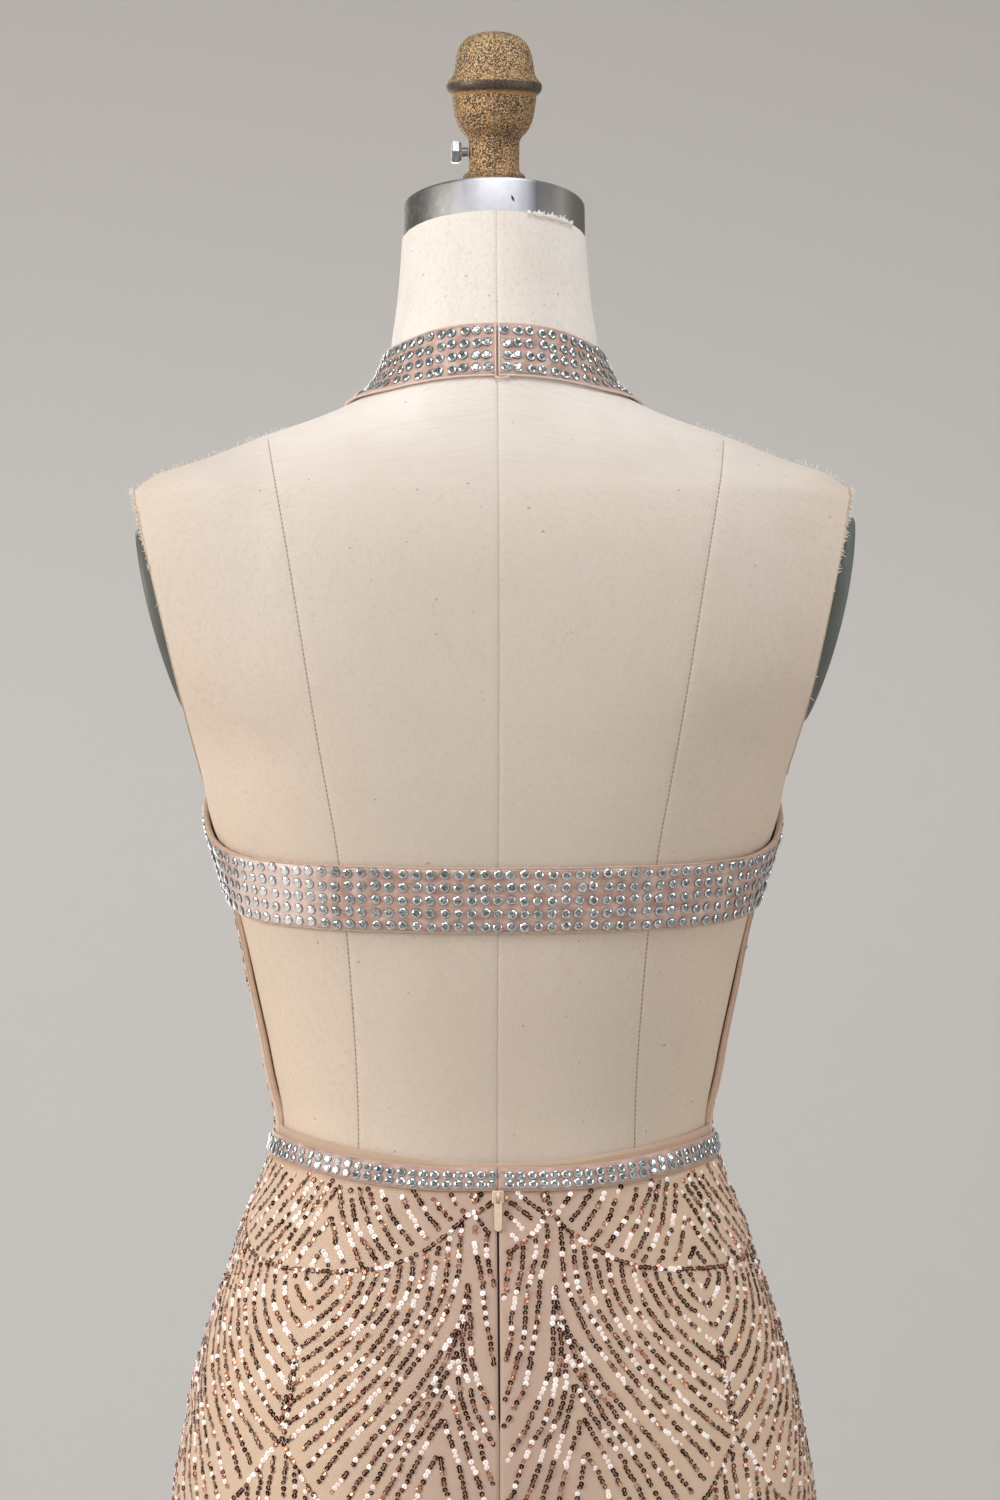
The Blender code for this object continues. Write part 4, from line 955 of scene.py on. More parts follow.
def brass_finish():
    """Rough cast brass: light gold grains among near-black ones, a dark rim and rust below it."""
    paint = Paint("cast_brass")
    spot = paint.place()
    x, _, z = paint.split(spot)
    grain = paint.noise(spot, 1050.0, 2.0, 0.6)
    broad = paint.noise(spot, 75.0, 3.0)
    speck = paint.step(grain + broad * 0.24, 0.600, 0.665)
    fleck = 1.0 - paint.step(grain, 0.40, 0.49)
    upper = paint.step(z, 1.655, 1.690)
    colour = paint.blend(upper, (0.430, 0.235, 0.095), (0.480, 0.310, 0.150))
    colour = paint.blend(fleck * 0.75, colour, (0.790, 0.560, 0.310))
    # Painted shade: the lower part's right half (x < 0) is painted darker, away from the light.
    shaded = (1.0 - paint.step(x, -0.0015, 0.0005)) * paint.step(z, 1.628, 1.634) * (1.0 - upper)
    colour = paint.blend(shaded * 0.22, colour, (0.210, 0.120, 0.055))
    colour = paint.blend(speck * 0.84, colour, (0.030, 0.022, 0.019))
    rust = paint.step(z, 1.6602, 1.6616) * (1.0 - paint.step(z, 1.6626, 1.6634))
    rim = paint.step(z, 1.6624, 1.6634) * (1.0 - paint.step(z, 1.6676, 1.6694))
    seam = 1.0 - paint.step(abs(x), 0.0003, 0.0009)
    colour = paint.blend(rust * 0.60, colour, (0.520, 0.245, 0.080))
    colour = paint.blend(rim * 0.86, colour, (0.080, 0.068, 0.062))
    colour = paint.blend(seam * 0.40, colour, (0.080, 0.055, 0.040))
    foot = 1.0 - paint.step(z, 1.6160, 1.6190)
    colour = paint.blend(foot * 0.55, colour, (0.120, 0.070, 0.035))
    rough = 0.38 + grain * 0.30
    return paint.finish(colour=colour, rough=rough, metallic=0.30 + rim * 0.35, height=grain * (1.0 - rim),
                        depth=0.0007)  # fmt: skip


def enamel_finish():
    """Pale nude enamel of the zip's slider and tab, worn in places."""
    paint = Paint("rose_enamel", Roughness=0.28, Coat_Weight=0.6, Coat_Roughness=0.1)
    worn = paint.noise(paint.place(), 500.0, 3.0)
    return paint.finish(colour=paint.blend(worn, (0.70, 0.500, 0.350), (0.88, 0.710, 0.540)),
                        metallic=paint.step(worn, 0.55, 0.8) * 0.3, height=worn, depth=0.00008)  # fmt: skip


def tape_finish():
    paint = Paint("zip_tape", Roughness=0.85)
    u, v, _ = paint.split(paint.cloth_map())
    twill = paint.wave(u + v, 0.0008)
    return paint.finish(colour=paint.blend(twill, (0.120, 0.070, 0.050), (0.240, 0.145, 0.105)),
                        height=twill, depth=0.0001)  # fmt: skip


def backdrop_finish():
    paint = Paint("pale_floor", Roughness=0.95)
    soft = paint.noise(paint.place(), 0.7, 2.0)
    _, _, z = paint.split(paint.place())
    # Painted shade: the backdrop is painted darker towards the top, where less light reaches it.
    painted_shade_above = paint.step(z, 1.25, 2.3)
    colour = paint.blend(soft, (0.714, 0.692, 0.671), (0.743, 0.724, 0.702))
    return paint.finish(colour=paint.blend(painted_shade_above, colour, (0.590, 0.558, 0.522)))


CANVAS, SATIN, BINDING = canvas_finish(), satin_finish(), binding_finish()
FRAY = flecked("canvas_fray", 700.0, ((0.80, 0.74, 0.66), (1.0, 0.98, 0.94)), (2.0,), Roughness=0.95)
TURNED = flecked("canvas_turned_edge", 700.0, ((0.52, 0.40, 0.29), (0.74, 0.61, 0.48)), (2.0,),
                 Roughness=0.95)  # fmt: skip
NET, LINING, SEQUIN = net_finish(), lining_finish(), sequin_finish()
THREAD = flecked("sewing_thread", 300.0, ((0.50, 0.29, 0.20), (1.0, 0.83, 0.74)), (1.0,), relief=0.0,
                 Roughness=0.45)  # fmt: skip
CRYSTAL, BRUSHED, BRASS = crystal_finish(), brushed_finish(), brass_finish()
ZINC = flecked("zinc_bolt", 600.0, ((0.32, 0.34, 0.36), (0.74, 0.77, 0.79)), (3.0,), (0.28, 0.2), 0.0001,
               Metallic=1.0)  # fmt: skip
PLATE = flecked("plate_paint", 60.0, ((0.100, 0.112, 0.100), (0.180, 0.196, 0.180)), (4.0,), (0.38, 0.25))
POLE = flecked("pole_steel", (400.0, 400.0, 8.0), ((0.42, 0.42, 0.43), (0.66, 0.66, 0.67)), (3.0,),
               (0.22, 0.15), 0.00005, Metallic=1.0)  # fmt: skip
IRON = flecked("base_iron", 260.0, ((0.022, 0.022, 0.024), (0.075, 0.074, 0.074)), (4.0, 0.7), (0.45, 0.3),
               0.0006)  # fmt: skip
ENAMEL, TAPE = enamel_finish(), tape_finish()
COIL = flecked("zip_coil", 900.0, ((0.035, 0.018, 0.012), (0.105, 0.058, 0.042)), (1.0,), Roughness=0.4)
BACKDROP = backdrop_finish()

# ---- Camera, light and stage --------------------------------------------------------------------------


def camera():
    data = bpy.data.cameras.new("camera")
    data.sensor_fit = "VERTICAL"
    data.sensor_height = 36.0
    data.lens = FOCAL_PIXELS * data.sensor_height / PICTURE[1]
    data.shift_x = (PICTURE[0] / 2 - AXIS_PIXEL) / PICTURE[1]
    data.clip_end = 50.0
    item = bpy.data.objects.new("camera", data)
    item.location = (CAMERA_AWAY * sin(CAMERA_TURN), CAMERA_AWAY * cos(CAMERA_TURN), CAMERA_HEIGHT)
    item.rotation_euler = (pi / 2, 0.0, pi - CAMERA_TURN)
    bpy.context.scene.collection.objects.link(item)
    bpy.context.scene.camera = item


def softbox(name, place, aim, size, power, colour=(1.0, 1.0, 1.0)):
    data = bpy.data.lights.new(name, "AREA")
    data.shape, data.size, data.size_y = "RECTANGLE", *size
    data.energy, data.color = power, colour
    item = bpy.data.objects.new(name, data)
    item.location = place
    item.rotation_euler = (Vector(aim) - Vector(place)).to_track_quat("-Z", "Y").to_euler()
    bpy.context.scene.collection.objects.link(item)


def lights():
    world = bpy.data.worlds.new("studio")
    bpy.context.scene.world = world
    world.use_nodes = True
    background = world.node_tree.nodes["Background"]
    background.inputs["Color"].default_value = (0.80, 0.79, 0.78, 1.0)
    background.inputs["Strength"].default_value = 0.31
    chest = (0.0, 0.0, 1.25)
    softbox("key", (3.1, 1.5, 2.3), chest, (1.3, 1.8), 80, (1.0, 0.985, 0.96))
    softbox("fill", (-2.8, 1.5, 1.6), chest, (0.9, 1.8), 22, (0.97, 0.985, 1.0))
    softbox("behind_camera", (0.0, 4.3, 1.9), chest, (4.2, 1.6), 9)
    softbox("top", (0.0, 1.3, 3.3), (0.0, 0.0, 1.45), (1.4, 1.0), 19)
    softbox("top_right", (-0.7, 0.15, 3.0), (-0.12, 0.0, 1.45), (0.6, 0.6), 5)
    softbox("front", (0.5, -2.3, 1.30), (0.5, 0.0, 1.30), (2.0, 1.8), 26)


def stage():
    """A pale floor that sweeps up into a backdrop on the side that the camera looks at."""
    far, near, high, bend = -2.6, 4.5, 4.5, 1.2
    profile = [(near, 0.0), (far + bend, 0.0)]
    profile += [(far + bend - bend * sin(t), bend - bend * cos(t)) for t in np.linspace(0, pi / 2, 13)[1:]]
    profile += [(far, high)]
    points = [(x, y, z) for y, z in profile for x in (-6.0, 6.0)]
    faces = [(2 * i, 2 * i + 1, 2 * i + 3, 2 * i + 2) for i in range(len(profile) - 1)]
    item = bpy.data.objects.new("floor_sweep", mesh_of("floor_sweep", points, faces, [BACKDROP]))
    bpy.context.scene.collection.objects.link(item)


bpy.context.scene.view_settings.view_transform = "Standard"
camera()
lights()
stage()

# ---- Dress form ---------------------------------------------------------------------------------------


def seam_angle(heights, table, front):
    """The angle at which the cover's seam lies at each height, from its distance to the centre line."""
    distances = smooth(heights, *(np.array(part) for part in zip(*table)))
    turns = np.linspace(0, pi / 2, 240)
    angles = []
    for height, distance in zip(heights, distances):
        across = figure(pi - turns if front else turns, height)[:, 0]
        angles.append(float(np.interp(distance, across, turns, right=pi / 2 * 0.92)))
    angles = np.minimum(np.array(angles), pi / 2 * 0.92)
    return pi - angles if front else angles


def cover_columns(heights):
    """Angles of the cover's columns at each height: they run along its seams, with two close beside each."""
    back, front = seam_angle(heights, BACK_SEAM, False), seam_angle(heights, FRONT_SEAM, True)
    zero, half = np.zeros(len(heights)), np.full(len(heights), pi)
    seams = [zero, back, half / 2, front, half]
    inner = np.linspace(0.05, 0.95, PANEL_COLUMNS - 4)
    shares = np.concatenate([[0.0, 0.008, 0.020], inner, [0.980, 0.992]])
    sides = []
    for first, last in zip(seams, seams[1:]):
        sides.append(first[:, None] + (last - first)[:, None] * shares)
    right_way = np.concatenate([*sides, half[:, None]], axis=1)
    return np.concatenate([right_way, 2 * pi - right_way[:, -2:0:-1]], axis=1), len(shares)


def cut_armhole(shape, side, out, lean):
    """Cuts the cover flat at an armhole, rounds its corner at the shoulder, and gives the cut's rim."""
    seat, normal = Vector((side * out, 0.0, ARM_PLANE_Z)), Vector((side * cos(lean), 0.0, -sin(lean)))
    upper = [face for face in shape.faces if min(v.co.z for v in face.verts) > ARMHOLE_FOOT]
    geometry = {piece for face in upper for piece in (*face.verts, *face.edges)}
    cut = bmesh.ops.bisect_plane(
        shape, geom=[*geometry, *upper], plane_no=normal, plane_co=seat, clear_outer=True, dist=1e-6
    )
    edges = [piece for piece in cut["geom_cut"] if isinstance(piece, bmesh.types.BMEdge)]
    for v in shape.verts:
        inside = (seat - v.co).dot(normal)
        if v.co.z > SHOULDER_TIPS and inside < SHOULDER_ROUND:
            share = float(ease((v.co.z - SHOULDER_TIPS) / 0.03)) * (1 - inside / SHOULDER_ROUND) ** 2
            v.co -= SHOULDER_DROP * share * Vector((side * sin(lean), 0.0, cos(lean)))
    rim = np.array([tuple(v.co) for v in {v for e in edges for v in e.verts}])
    for face in bmesh.ops.edgenet_fill(shape, edges=edges)["faces"]:
        face.smooth = False
    return rim


def arm_seat(side):
    """The middle of an arm plate's seat, and the seat's normal."""
    out = ARM_PLANE_X - (ARM_PLANE_Z - ARM_PLATE_Z) * tan(ARM_PLANE_LEAN)
    seat = np.array([side * out, ARM_PLATE_Y, ARM_PLATE_Z])
    return seat, np.array([side * cos(ARM_PLANE_LEAN), 0.0, -sin(ARM_PLANE_LEAN)])


def form_cover():
    """The stuffed canvas body, cut flat at the armholes, with its seams let in."""
    heights = np.concatenate([
        np.arange(TORSO_BOTTOM + 0.014, 1.430, 0.006), np.arange(1.430, 1.498, 0.0011),
        np.arange(1.498, NECK_TOP, 0.0028), [NECK_TOP],
    ])  # fmt: skip
    angles, panel = cover_columns(heights)
    rings = figure(angles, heights[:, None])
    around = np.linalg.norm(np.diff(rings, axis=1, append=rings[:, :1]), axis=-1)
    run = np.pad(around.cumsum(axis=1)[:, :-1], ((0, 0), (1, 0)))
    total = around.sum(axis=1)[:, None]
    away = np.full(run.shape, 1.0)
    for number in range(8):
        seam_run = run[:, number * panel][:, None]
        apart = np.abs(run - seam_run)
        apart = np.minimum(apart, total - apart)
        if number in (1, 3, 5, 7):  # the paired seams
            apart = apart + np.where(heights > SEAM_ENDS, 1.0, 0.0)[:, None]
        if number in (2, 6):  # the side seams
            apart = apart + np.where(heights > SIDE_SEAM_ENDS, 1.0, 0.0)[:, None]
        away = np.minimum(away, apart)
    normals = outward(angles, heights[:, None], 0.0)
    rings = rings - SEAM_GROOVE * np.exp(-((away / SEAM_GROOVE_HALF) ** 2))[..., None] * normals
    bottom, rounding = [], ((0.955, 0.0140), (0.982, 0.0105), (0.995, 0.0055))
    for shrink, drop in rounding:
        bottom.append(rings[0] * np.array([shrink, shrink, 1.0]) - np.array([0.0, 0.0, drop]))
    points = np.concatenate([np.array(bottom), rings])
    away = np.concatenate([np.tile(away[0], (len(rounding), 1)), away])
    rows, columns = points.shape[:2]
    numbers = np.arange(rows * columns).reshape(rows, columns)
    faces = quads(np.concatenate([numbers, numbers[:, :1]], axis=1)).tolist()
    faces += [numbers[0, ::-1].tolist(), numbers[-1].tolist()]
    mesh = mesh_of("form_cover", points.reshape(-1, 3), faces, [CANVAS])
    lay_uv(mesh, measures(points).reshape(-1, 2))
    layer = mesh.attributes.new("from_seam", "FLOAT", "POINT")
    layer.data.foreach_set("value", away.ravel().astype(np.float32))
    shape = bmesh.new()
    shape.from_mesh(mesh)
    cuts = ((1, ARM_PLANE_X, ARM_PLANE_LEAN), (-1, RIGHT_CUT_X, RIGHT_CUT_LEAN))
    rims = [cut_armhole(shape, *cut) for cut in cuts]
    bmesh.ops.holes_fill(shape, edges=[edge for edge in shape.edges if edge.is_boundary], sides=0)
    bmesh.ops.recalc_face_normals(shape, faces=shape.faces)
    for edge in shape.edges:
        if len(edge.link_faces) == 2 and edge.calc_face_angle(0.0) > radians(40):
            edge.smooth = False
    shape.to_mesh(mesh)
    shape.free()
    put("form_cover", mesh, ["form_torso"])
    return rims


def fray(name, starts, directions, lengths):
    """Loose canvas threads, each a thin bent strand."""
    parts = []
    steps = np.linspace(0, 1, 4)[:, None]
    for start, direction, length in zip(starts, directions, lengths):
        bend = unit(rng.normal(size=3)) * length * 0.3
        path = start + direction * length * steps + bend * steps**2
        parts.append(tube(path, np.linspace(*THREAD_RADII, 4), 3, facing=(0.3, 0.5, 0.8)))
    put(name, mesh_of(name, *joined(parts), [FRAY]))


def armhole_edges(rims):
    """The cover's turned edge round each armhole, ragged at the top, and the fuzz along the shoulders."""
    mesh = bpy.data.objects["form_cover"].data
    cover = BVHTree.FromPolygons([v.co for v in mesh.vertices], [p.vertices[:] for p in mesh.polygons])
    parts, starts, ways = [], [], []
    grid = np.linspace(-pi, pi, 161)[:-1]
    raised = np.exp(-((grid - 0.50) / 0.42) ** 2)
    radius = 0.0005 + 0.0013 * raised * (0.55 + 0.45 * np.sin(grid * 37) * np.cos(grid * 61))
    for side, rim in zip((1, -1), rims):
        seat, normal = arm_seat(side)
        rim = rim[np.argsort(np.arctan2(rim[:, 1] - seat[1], rim[:, 2] - seat[2]))]
        turn = np.arctan2(rim[:, 1] - seat[1], rim[:, 2] - seat[2])
        loop = np.stack([np.interp(grid, turn, rim[:, i], period=2 * pi) for i in range(3)], axis=-1)
        inward = unit(seat - loop)
        parts.append(tube(loop + inward * 0.0004 + normal * 0.0003, radius, 6, facing=normal, closed=True))
        chosen = rng.choice(len(grid), EDGE_THREADS, p=(raised + 0.004) / (raised + 0.004).sum())
        starts.append(loop[chosen] + normal * 0.0004)
        spread = rng.normal(size=(EDGE_THREADS, 3)) * 0.55
        ways.append(unit(-inward[chosen] * 0.3 + normal * 0.9 + spread + np.array([0.0, 0.25, -0.3])))
        heights = rng.uniform(1.441, 1.476, SHOULDER_THREADS)
        for spot in figure(np.full(SHOULDER_THREADS, side * radians(86)), heights):
            hit, away, *_ = cover.find_nearest(spot)
            starts.append(np.array([hit]))
            ways.append(unit(np.array([away]) + rng.normal(size=(1, 3)) * 0.5 + np.array([0.0, 0.0, 0.7])))
    put_solid("armhole_turnings", *joined(parts), TURNED, "form_canvas")
    starts, ways = np.concatenate(starts), np.concatenate(ways)
    fray("armhole_fray", starts, ways, rng.uniform(0.0010, 0.0032, len(starts)))


def neck_lip():
    """A short torn lip of canvas over the cap's foot, to the right of centre back."""
    turns = np.radians(np.linspace(-19, -54, LIP_STEPS))
    jags = np.sin(np.linspace(0, 23, LIP_STEPS)) * np.sin(np.linspace(0, 47, LIP_STEPS) + 1)
    ragged = (0.0009 + 0.0011 * jags)[:, None]
    foot = cloth(turns, np.full(LIP_STEPS, NECK_TOP - 0.0006), np.zeros(LIP_STEPS))
    away = unit(foot * np.array([1.0, 1.0, 0.0]))
    clear = np.maximum(CAP_RADIUS + 0.0007 - np.linalg.norm(foot[:, :2], axis=1), 0.0009)[:, None]
    up = np.array([0.0, -sin(NECK_TILT), cos(NECK_TILT)])
    points = np.array([
        foot + away * 0.0006 - up * (0.0006 + 0.5 * ragged),
        foot + away * clear - up * 0.0002,
        foot + away * (clear + 0.0004) + up * (0.0004 + ragged),
    ])  # fmt: skip
    normals = np.broadcast_to(away, points.shape)
    put("neck_lip", grid_wall("neck_lip", points, normals, 0.0005, [FRAY])[0])
    chosen = rng.integers(0, LIP_STEPS, LIP_THREADS)
    ways = normals[0][chosen] * 0.5 + rng.normal(size=(LIP_THREADS, 3)) * 0.7 + np.array([0, 0, 0.25])
    fray("neck_fray", points[-1][chosen], unit(ways), rng.uniform(0.0005, 0.0014, LIP_THREADS))


def arm_plates():
    """Oval plates with rounded edges on the armholes' flats, thickest at mid height."""
    wall, edge = ARM_PLATE_WALL, 0.0016
    profile = [(0.0, 0.0), (0.975, 0.0), (0.990, edge * 0.3), (1.0, edge), (1.0, wall - edge),
               (0.990, wall - edge * 0.3), *((radius, wall) for radius in (0.975, 0.9, 0.7, 0.5, 0.3, 0.0))]
    for side, name, longer, bulge, lean in PLATES:
        half = ARM_PLATE_HEIGHT / 2 + longer
        points, faces = turned(profile, 72, (half, ARM_PLATE_DEPTH / 2))
        points[:, 2] *= 1 + bulge / wall * (1 - (points[:, 0] / half) ** 2)
        down, sideways, inward = PLATE_MOVED
        points = placed(points, turn_y=side * lean, to=(side * down, sideways, inward))
        seat, normal = arm_seat(side)
        spots = placed(points, turn_y=side * (pi / 2 + ARM_PLANE_LEAN), to=seat + normal * GAP)
        put_solid(f"{name}_turned", spots, faces, PLATE, "plate_paint", [name])


def neck_cap():
    """The metal cap, with a softened top edge and a fine groove over its foot."""
    r, h, edge = CAP_RADIUS, CAP_HEIGHT, 0.0016
    profile = [(0.0, 0.0), (r - 0.0006, 0.0), (r - 0.0001, 0.0004), (r, 0.0010), (r, h - 0.0020)]
    profile += [(r - edge + edge * cos(t), h - edge + edge * sin(t)) for t in np.radians((15, 40, 65, 90))]
    profile += [(r - 0.004, h), (r * 0.5, h), (0.0, h)]
    points, faces = turned(profile, 120)
    normal = Vector((0.0, -sin(NECK_TILT), cos(NECK_TILT)))
    spots = placed(points, turn_x=NECK_TILT, to=Vector((0, 0, NECK_TOP)) + normal * GAP)
    put_solid("brushed_neck_cap", spots, faces, BRUSHED, "brushed_cap", ["neck_cap"])


def finial():
    """The cast knob, a little uneven, its foot sunk to the cap's sloping top."""
    knots = np.array(FINIAL_PROFILE)
    run = np.concatenate([[0.0], np.linalg.norm(np.diff(knots, axis=0), axis=1).cumsum()])
    fine = np.linspace(0, run[-1], 96)
    profile = np.stack([np.interp(fine, run, knots[:, 0]), np.interp(fine, run, knots[:, 1])], axis=-1)
    profile[1:-1] = (profile[:-2] + 2 * profile[1:-1] + profile[2:]) / 4
    profile[0] = (0.0, knots[0, 1])
    foot_z = profile[-1, 1]
    points, faces = turned([*map(tuple, profile), (0.0, foot_z)], 96)
    slope = tan(NECK_TILT)
    floor = NECK_TOP + (CAP_HEIGHT + 2 * GAP) / cos(NECK_TILT)
    flange, neck = 1.6178, 1.6225  # the cast grain starts above the stem's foot
    foot = points[:, 2] < flange
    share = np.clip((flange - points[foot, 2]) / (flange - foot_z), 0, 1)
    low = floor + slope * points[foot, 1]
    points[foot, 2] = flange + (low - flange) * share
    bumps = np.array([noise.noise(Vector(p) * 260) + 0.6 * noise.noise(Vector(p) * 700) for p in points])
    sideways = unit(points * np.array([1.0, 1.0, 0.0]) + np.array([0.0, 0.0, 1e-9]))
    kept = np.where(points[:, 2] > neck, 1.0, 0.0)
    mould_line = np.exp(-((np.arctan2(points[:, 0], points[:, 1]) / 0.035) ** 2)) * 0.00018
    points = points + sideways * (0.00022 * bumps * kept + mould_line * kept)[:, None]
    put_solid("cast_finial", points, faces, BRASS, "cast_brass", ["neck_finial"])


def set_bolt():
    """The hexagon bolt, its corners eased and its shank threaded."""
    across = BOLT_HEAD_ACROSS / 2 / cos(pi / 6)
    head_end = BOLT_HEAD_FROM + BOLT_HEAD_LENGTH
    head = turned([(0.0, BOLT_HEAD_FROM), (across * 0.93, BOLT_HEAD_FROM), (across, BOLT_HEAD_FROM + 0.0005),
                   (across, head_end - 0.0006), (across * 0.90, head_end), (0.0, head_end)], 6)  # fmt: skip
    eased = np.array(Matrix.Rotation(pi / 6, 3, "Z"))
    head = (head[0] @ eased.T * np.array([0.96, 0.96, 1.0]) - np.array([0.0, 0.0, 0.0010]), head[1])
    start = STEM_RADIUS + GAP
    steps = np.linspace(start, BOLT_HEAD_FROM - 0.0007, 33)
    ridge = [(BOLT_SHANK_RADIUS - 0.00050 * (i % 4 in (1, 2)), z) for i, z in enumerate(steps)]
    shank = turned([(0.0, start), *ridge, (0.0, steps[-1])], 28)
    washer_z = BOLT_HEAD_FROM - 0.0019
    washer = turned([(0.0, washer_z), (0.0052, washer_z), (0.0054, washer_z + 0.0005),
                     (0.0052, BOLT_HEAD_FROM - 0.0009), (0.0, BOLT_HEAD_FROM - 0.0009)], 28)  # fmt: skip
    points, faces = joined([head, shank, washer])
    spots = placed(points, turn_y=pi / 2, to=(0.0, 0.0, BOLT_Z))
    put_solid("hexagon_bolt", spots, faces, ZINC, "zinc_bolt", ["set_bolt"], smooth_faces=False)


armhole_edges(form_cover())
neck_lip()
arm_plates()
neck_cap()
finial()
set_bolt()
repaint(["stand_pole"], POLE)
repaint(["stand_base"], IRON)

# ---- Bands --------------------------------------------------------------------------------------------

PATH_ANGLES = np.radians(column(BAND_PATH, BAND_PATH_COLUMNS, "angle_deg"))
PATH_HEIGHTS = column(BAND_PATH, BAND_PATH_COLUMNS, "height")
PATH_WIDTHS = column(BAND_PATH, BAND_PATH_COLUMNS, "width")
PATH_OUT = column(BAND_PATH, BAND_PATH_COLUMNS, "out")
PATH_RUN = np.concatenate(
    [[0.0], np.cumsum(np.linalg.norm(np.diff(figure(PATH_ANGLES, PATH_HEIGHTS), axis=0), axis=1))]
)
MIRROR = np.array([-1.0, 1.0, 1.0])


def band_places(distances, across):
    """Angle, height and lift of points of the band's +X side, by distance along it and share across it."""
    distances, across = np.broadcast_arrays(np.asarray(distances, float), np.asarray(across, float))

    def line(run):
        return figure(smooth(run, PATH_RUN, PATH_ANGLES), smooth(run, PATH_RUN, PATH_HEIGHTS), BRIDGE)

    angle, height = smooth(distances, PATH_RUN, PATH_ANGLES), smooth(distances, PATH_RUN, PATH_HEIGHTS)
    ahead = line(distances + 0.002) - line(distances - 0.002)
    sideways = unit(np.cross(outward(angle, height), ahead))
    width = smooth(distances, PATH_RUN, PATH_WIDTHS)
    guess = line(distances) + (across * width)[..., None] * sideways
    return angle_of(guess), guess[..., 2], smooth(distances, PATH_RUN, PATH_OUT), unit(ahead)


def side_joint():
    """Distance along the path to the joint at the side."""
    last = len(PATH_ANGLES) - 4
    share = (PATH_ANGLES[last] - radians(SIDE_JOINT_DEG)) / (PATH_ANGLES[last] - PATH_ANGLES[last + 1])
    return PATH_RUN[last] + share * (PATH_RUN[last + 1] - PATH_RUN[last])


def gem_shape():
    """A round cut stone of radius 1: a girdle, two rings of facets and a table, with a flat back."""
    rings = ((1.0, 0.0, 0.0), (1.0, 0.16, 0.0), (0.84, 0.34, 0.5), (0.52, 0.46, 0.0))
    sides = 8
    points = [(r * cos((i + turn) * 2 * pi / sides), r * sin((i + turn) * 2 * pi / sides), h)
              for r, h, turn in rings for i in range(sides)]  # fmt: skip
    faces = []
    for i in range(sides):
        j = (i + 1) % sides
        a, b, c, d = 0, sides, 2 * sides, 3 * sides
        faces += [(a + i, a + j, b + j, b + i), (b + i, b + j, c + i), (b + j, c + j, c + i)]
        faces += [(c + i, d + j, d + i), (c + i, c + j, d + j)]
    faces += [tuple(range(3 * sides, 4 * sides))]
    return points, faces


def set_stones(name, surface, spots, ahead, radius):
    """Stones on a band, each turned and tipped a little in its own way, and painted brighter where the light
    would catch them.
    """
    places, normals = surface.settle(spots, 0.00005)
    count = len(places)
    spin = rng.uniform(0, 2 * pi, count)[:, None]
    across = unit(np.cross(normals, ahead))
    along = np.cos(spin) * ahead + np.sin(spin) * across
    tipped = unit(normals + rng.normal(size=(count, 3)) * 0.035)
    sizes = radius * rng.uniform(0.95, 1.04, count)
    x = places[:, 0]
    at_waist, fade = places[:, 2] < 1.15, 0.018
    nearer, further = np.where(at_waist, 0.068, 0.088), np.where(at_waist, 0.122, 0.154)
    # Painted glints: paler tones on the left part of each band and near x = -0.045.
    left_glint = ease((x - nearer) / fade) * ease((further - x) / fade)
    right_glint = np.exp(-(((x + 0.045) / 0.03) ** 2))
    tones = 0.28 + 0.66 * left_glint + 0.22 * right_glint
    tones = np.clip(tones + rng.normal(size=count) * 0.10, 0, 1)
    put(name, scattered(name, *gem_shape(), places, tipped, along, sizes, tones, CRYSTAL))


def band_piece(name, node, parts):
    """A satin band from one or two runs of the path, each given in order as (first, last, mirrored)."""
    shares = np.linspace(-0.5, 0.5, 11)[:, None]
    grids, normal_grids = [], []
    for first, last, mirrored in parts:
        run = np.linspace(first, last, max(8, int(abs(last - first) / BAND_STEP)))[None, :]
        angle, height, out, _ = band_places(run, shares)
        pucker = 0.00016 * np.sin(run * 610 + 5 * shares) * np.cos(run * 233 - 9 * shares)
        mirror = MIRROR if mirrored else 1.0
        points = cloth(angle, height, out + np.maximum(pucker, -0.0001))
        grids.append(points * mirror)
        normal_grids.append(outward(angle, height) * mirror)
    points = np.concatenate([grids[0], *[g[:, 1:] for g in grids[1:]]], axis=1)
    normals = np.concatenate([normal_grids[0], *[g[:, 1:] for g in normal_grids[1:]]], axis=1)
    mesh, surface = grid_wall(name, points, normals, BAND_WALL, [SATIN, BINDING])
    item = put(name, mesh, [node])
    runs = [np.linspace(first, last, len(grid[0])) for (first, last, _), grid in zip(parts, grids)]
    runs = np.concatenate(runs)[: points.shape[1]]
    stands_off = ease((smooth(runs, PATH_RUN, PATH_OUT) - 0.0020) / 0.0012)
    piping = []
    for row in (0, -1):
        centre = points[row] + normals[row] * (BAND_WALL * 0.55 - 0.0011 * stands_off)[:, None]
        piping.append(tube(centre, 0.00068 + 0.0008 * stands_off, 6, facing=normals[row]))
        depth = (0.0001 + 0.0019 * stands_off)[:, None]
        ribbon = np.stack([points[row] - normals[row] * back for back in (0.0002, 0.0002 + depth)])
        numbers = np.arange(ribbon[..., 0].size).reshape(2, -1)
        piping.append((ribbon.reshape(-1, 3), quads(numbers).tolist()))
    if node != "back_strap":
        inwards = unit(points[:, 3] - points[:, 0])
        fold = points[:, 0] + normals[:, 0] * (BAND_WALL * 0.75) + inwards * 0.0006
        piping.append(tube(fold, PIPING_RADIUS, 6, facing=normals[:, 0]))
    return item, put_solid(f"{name}_edges", *joined(piping), BINDING, "stone_band"), surface


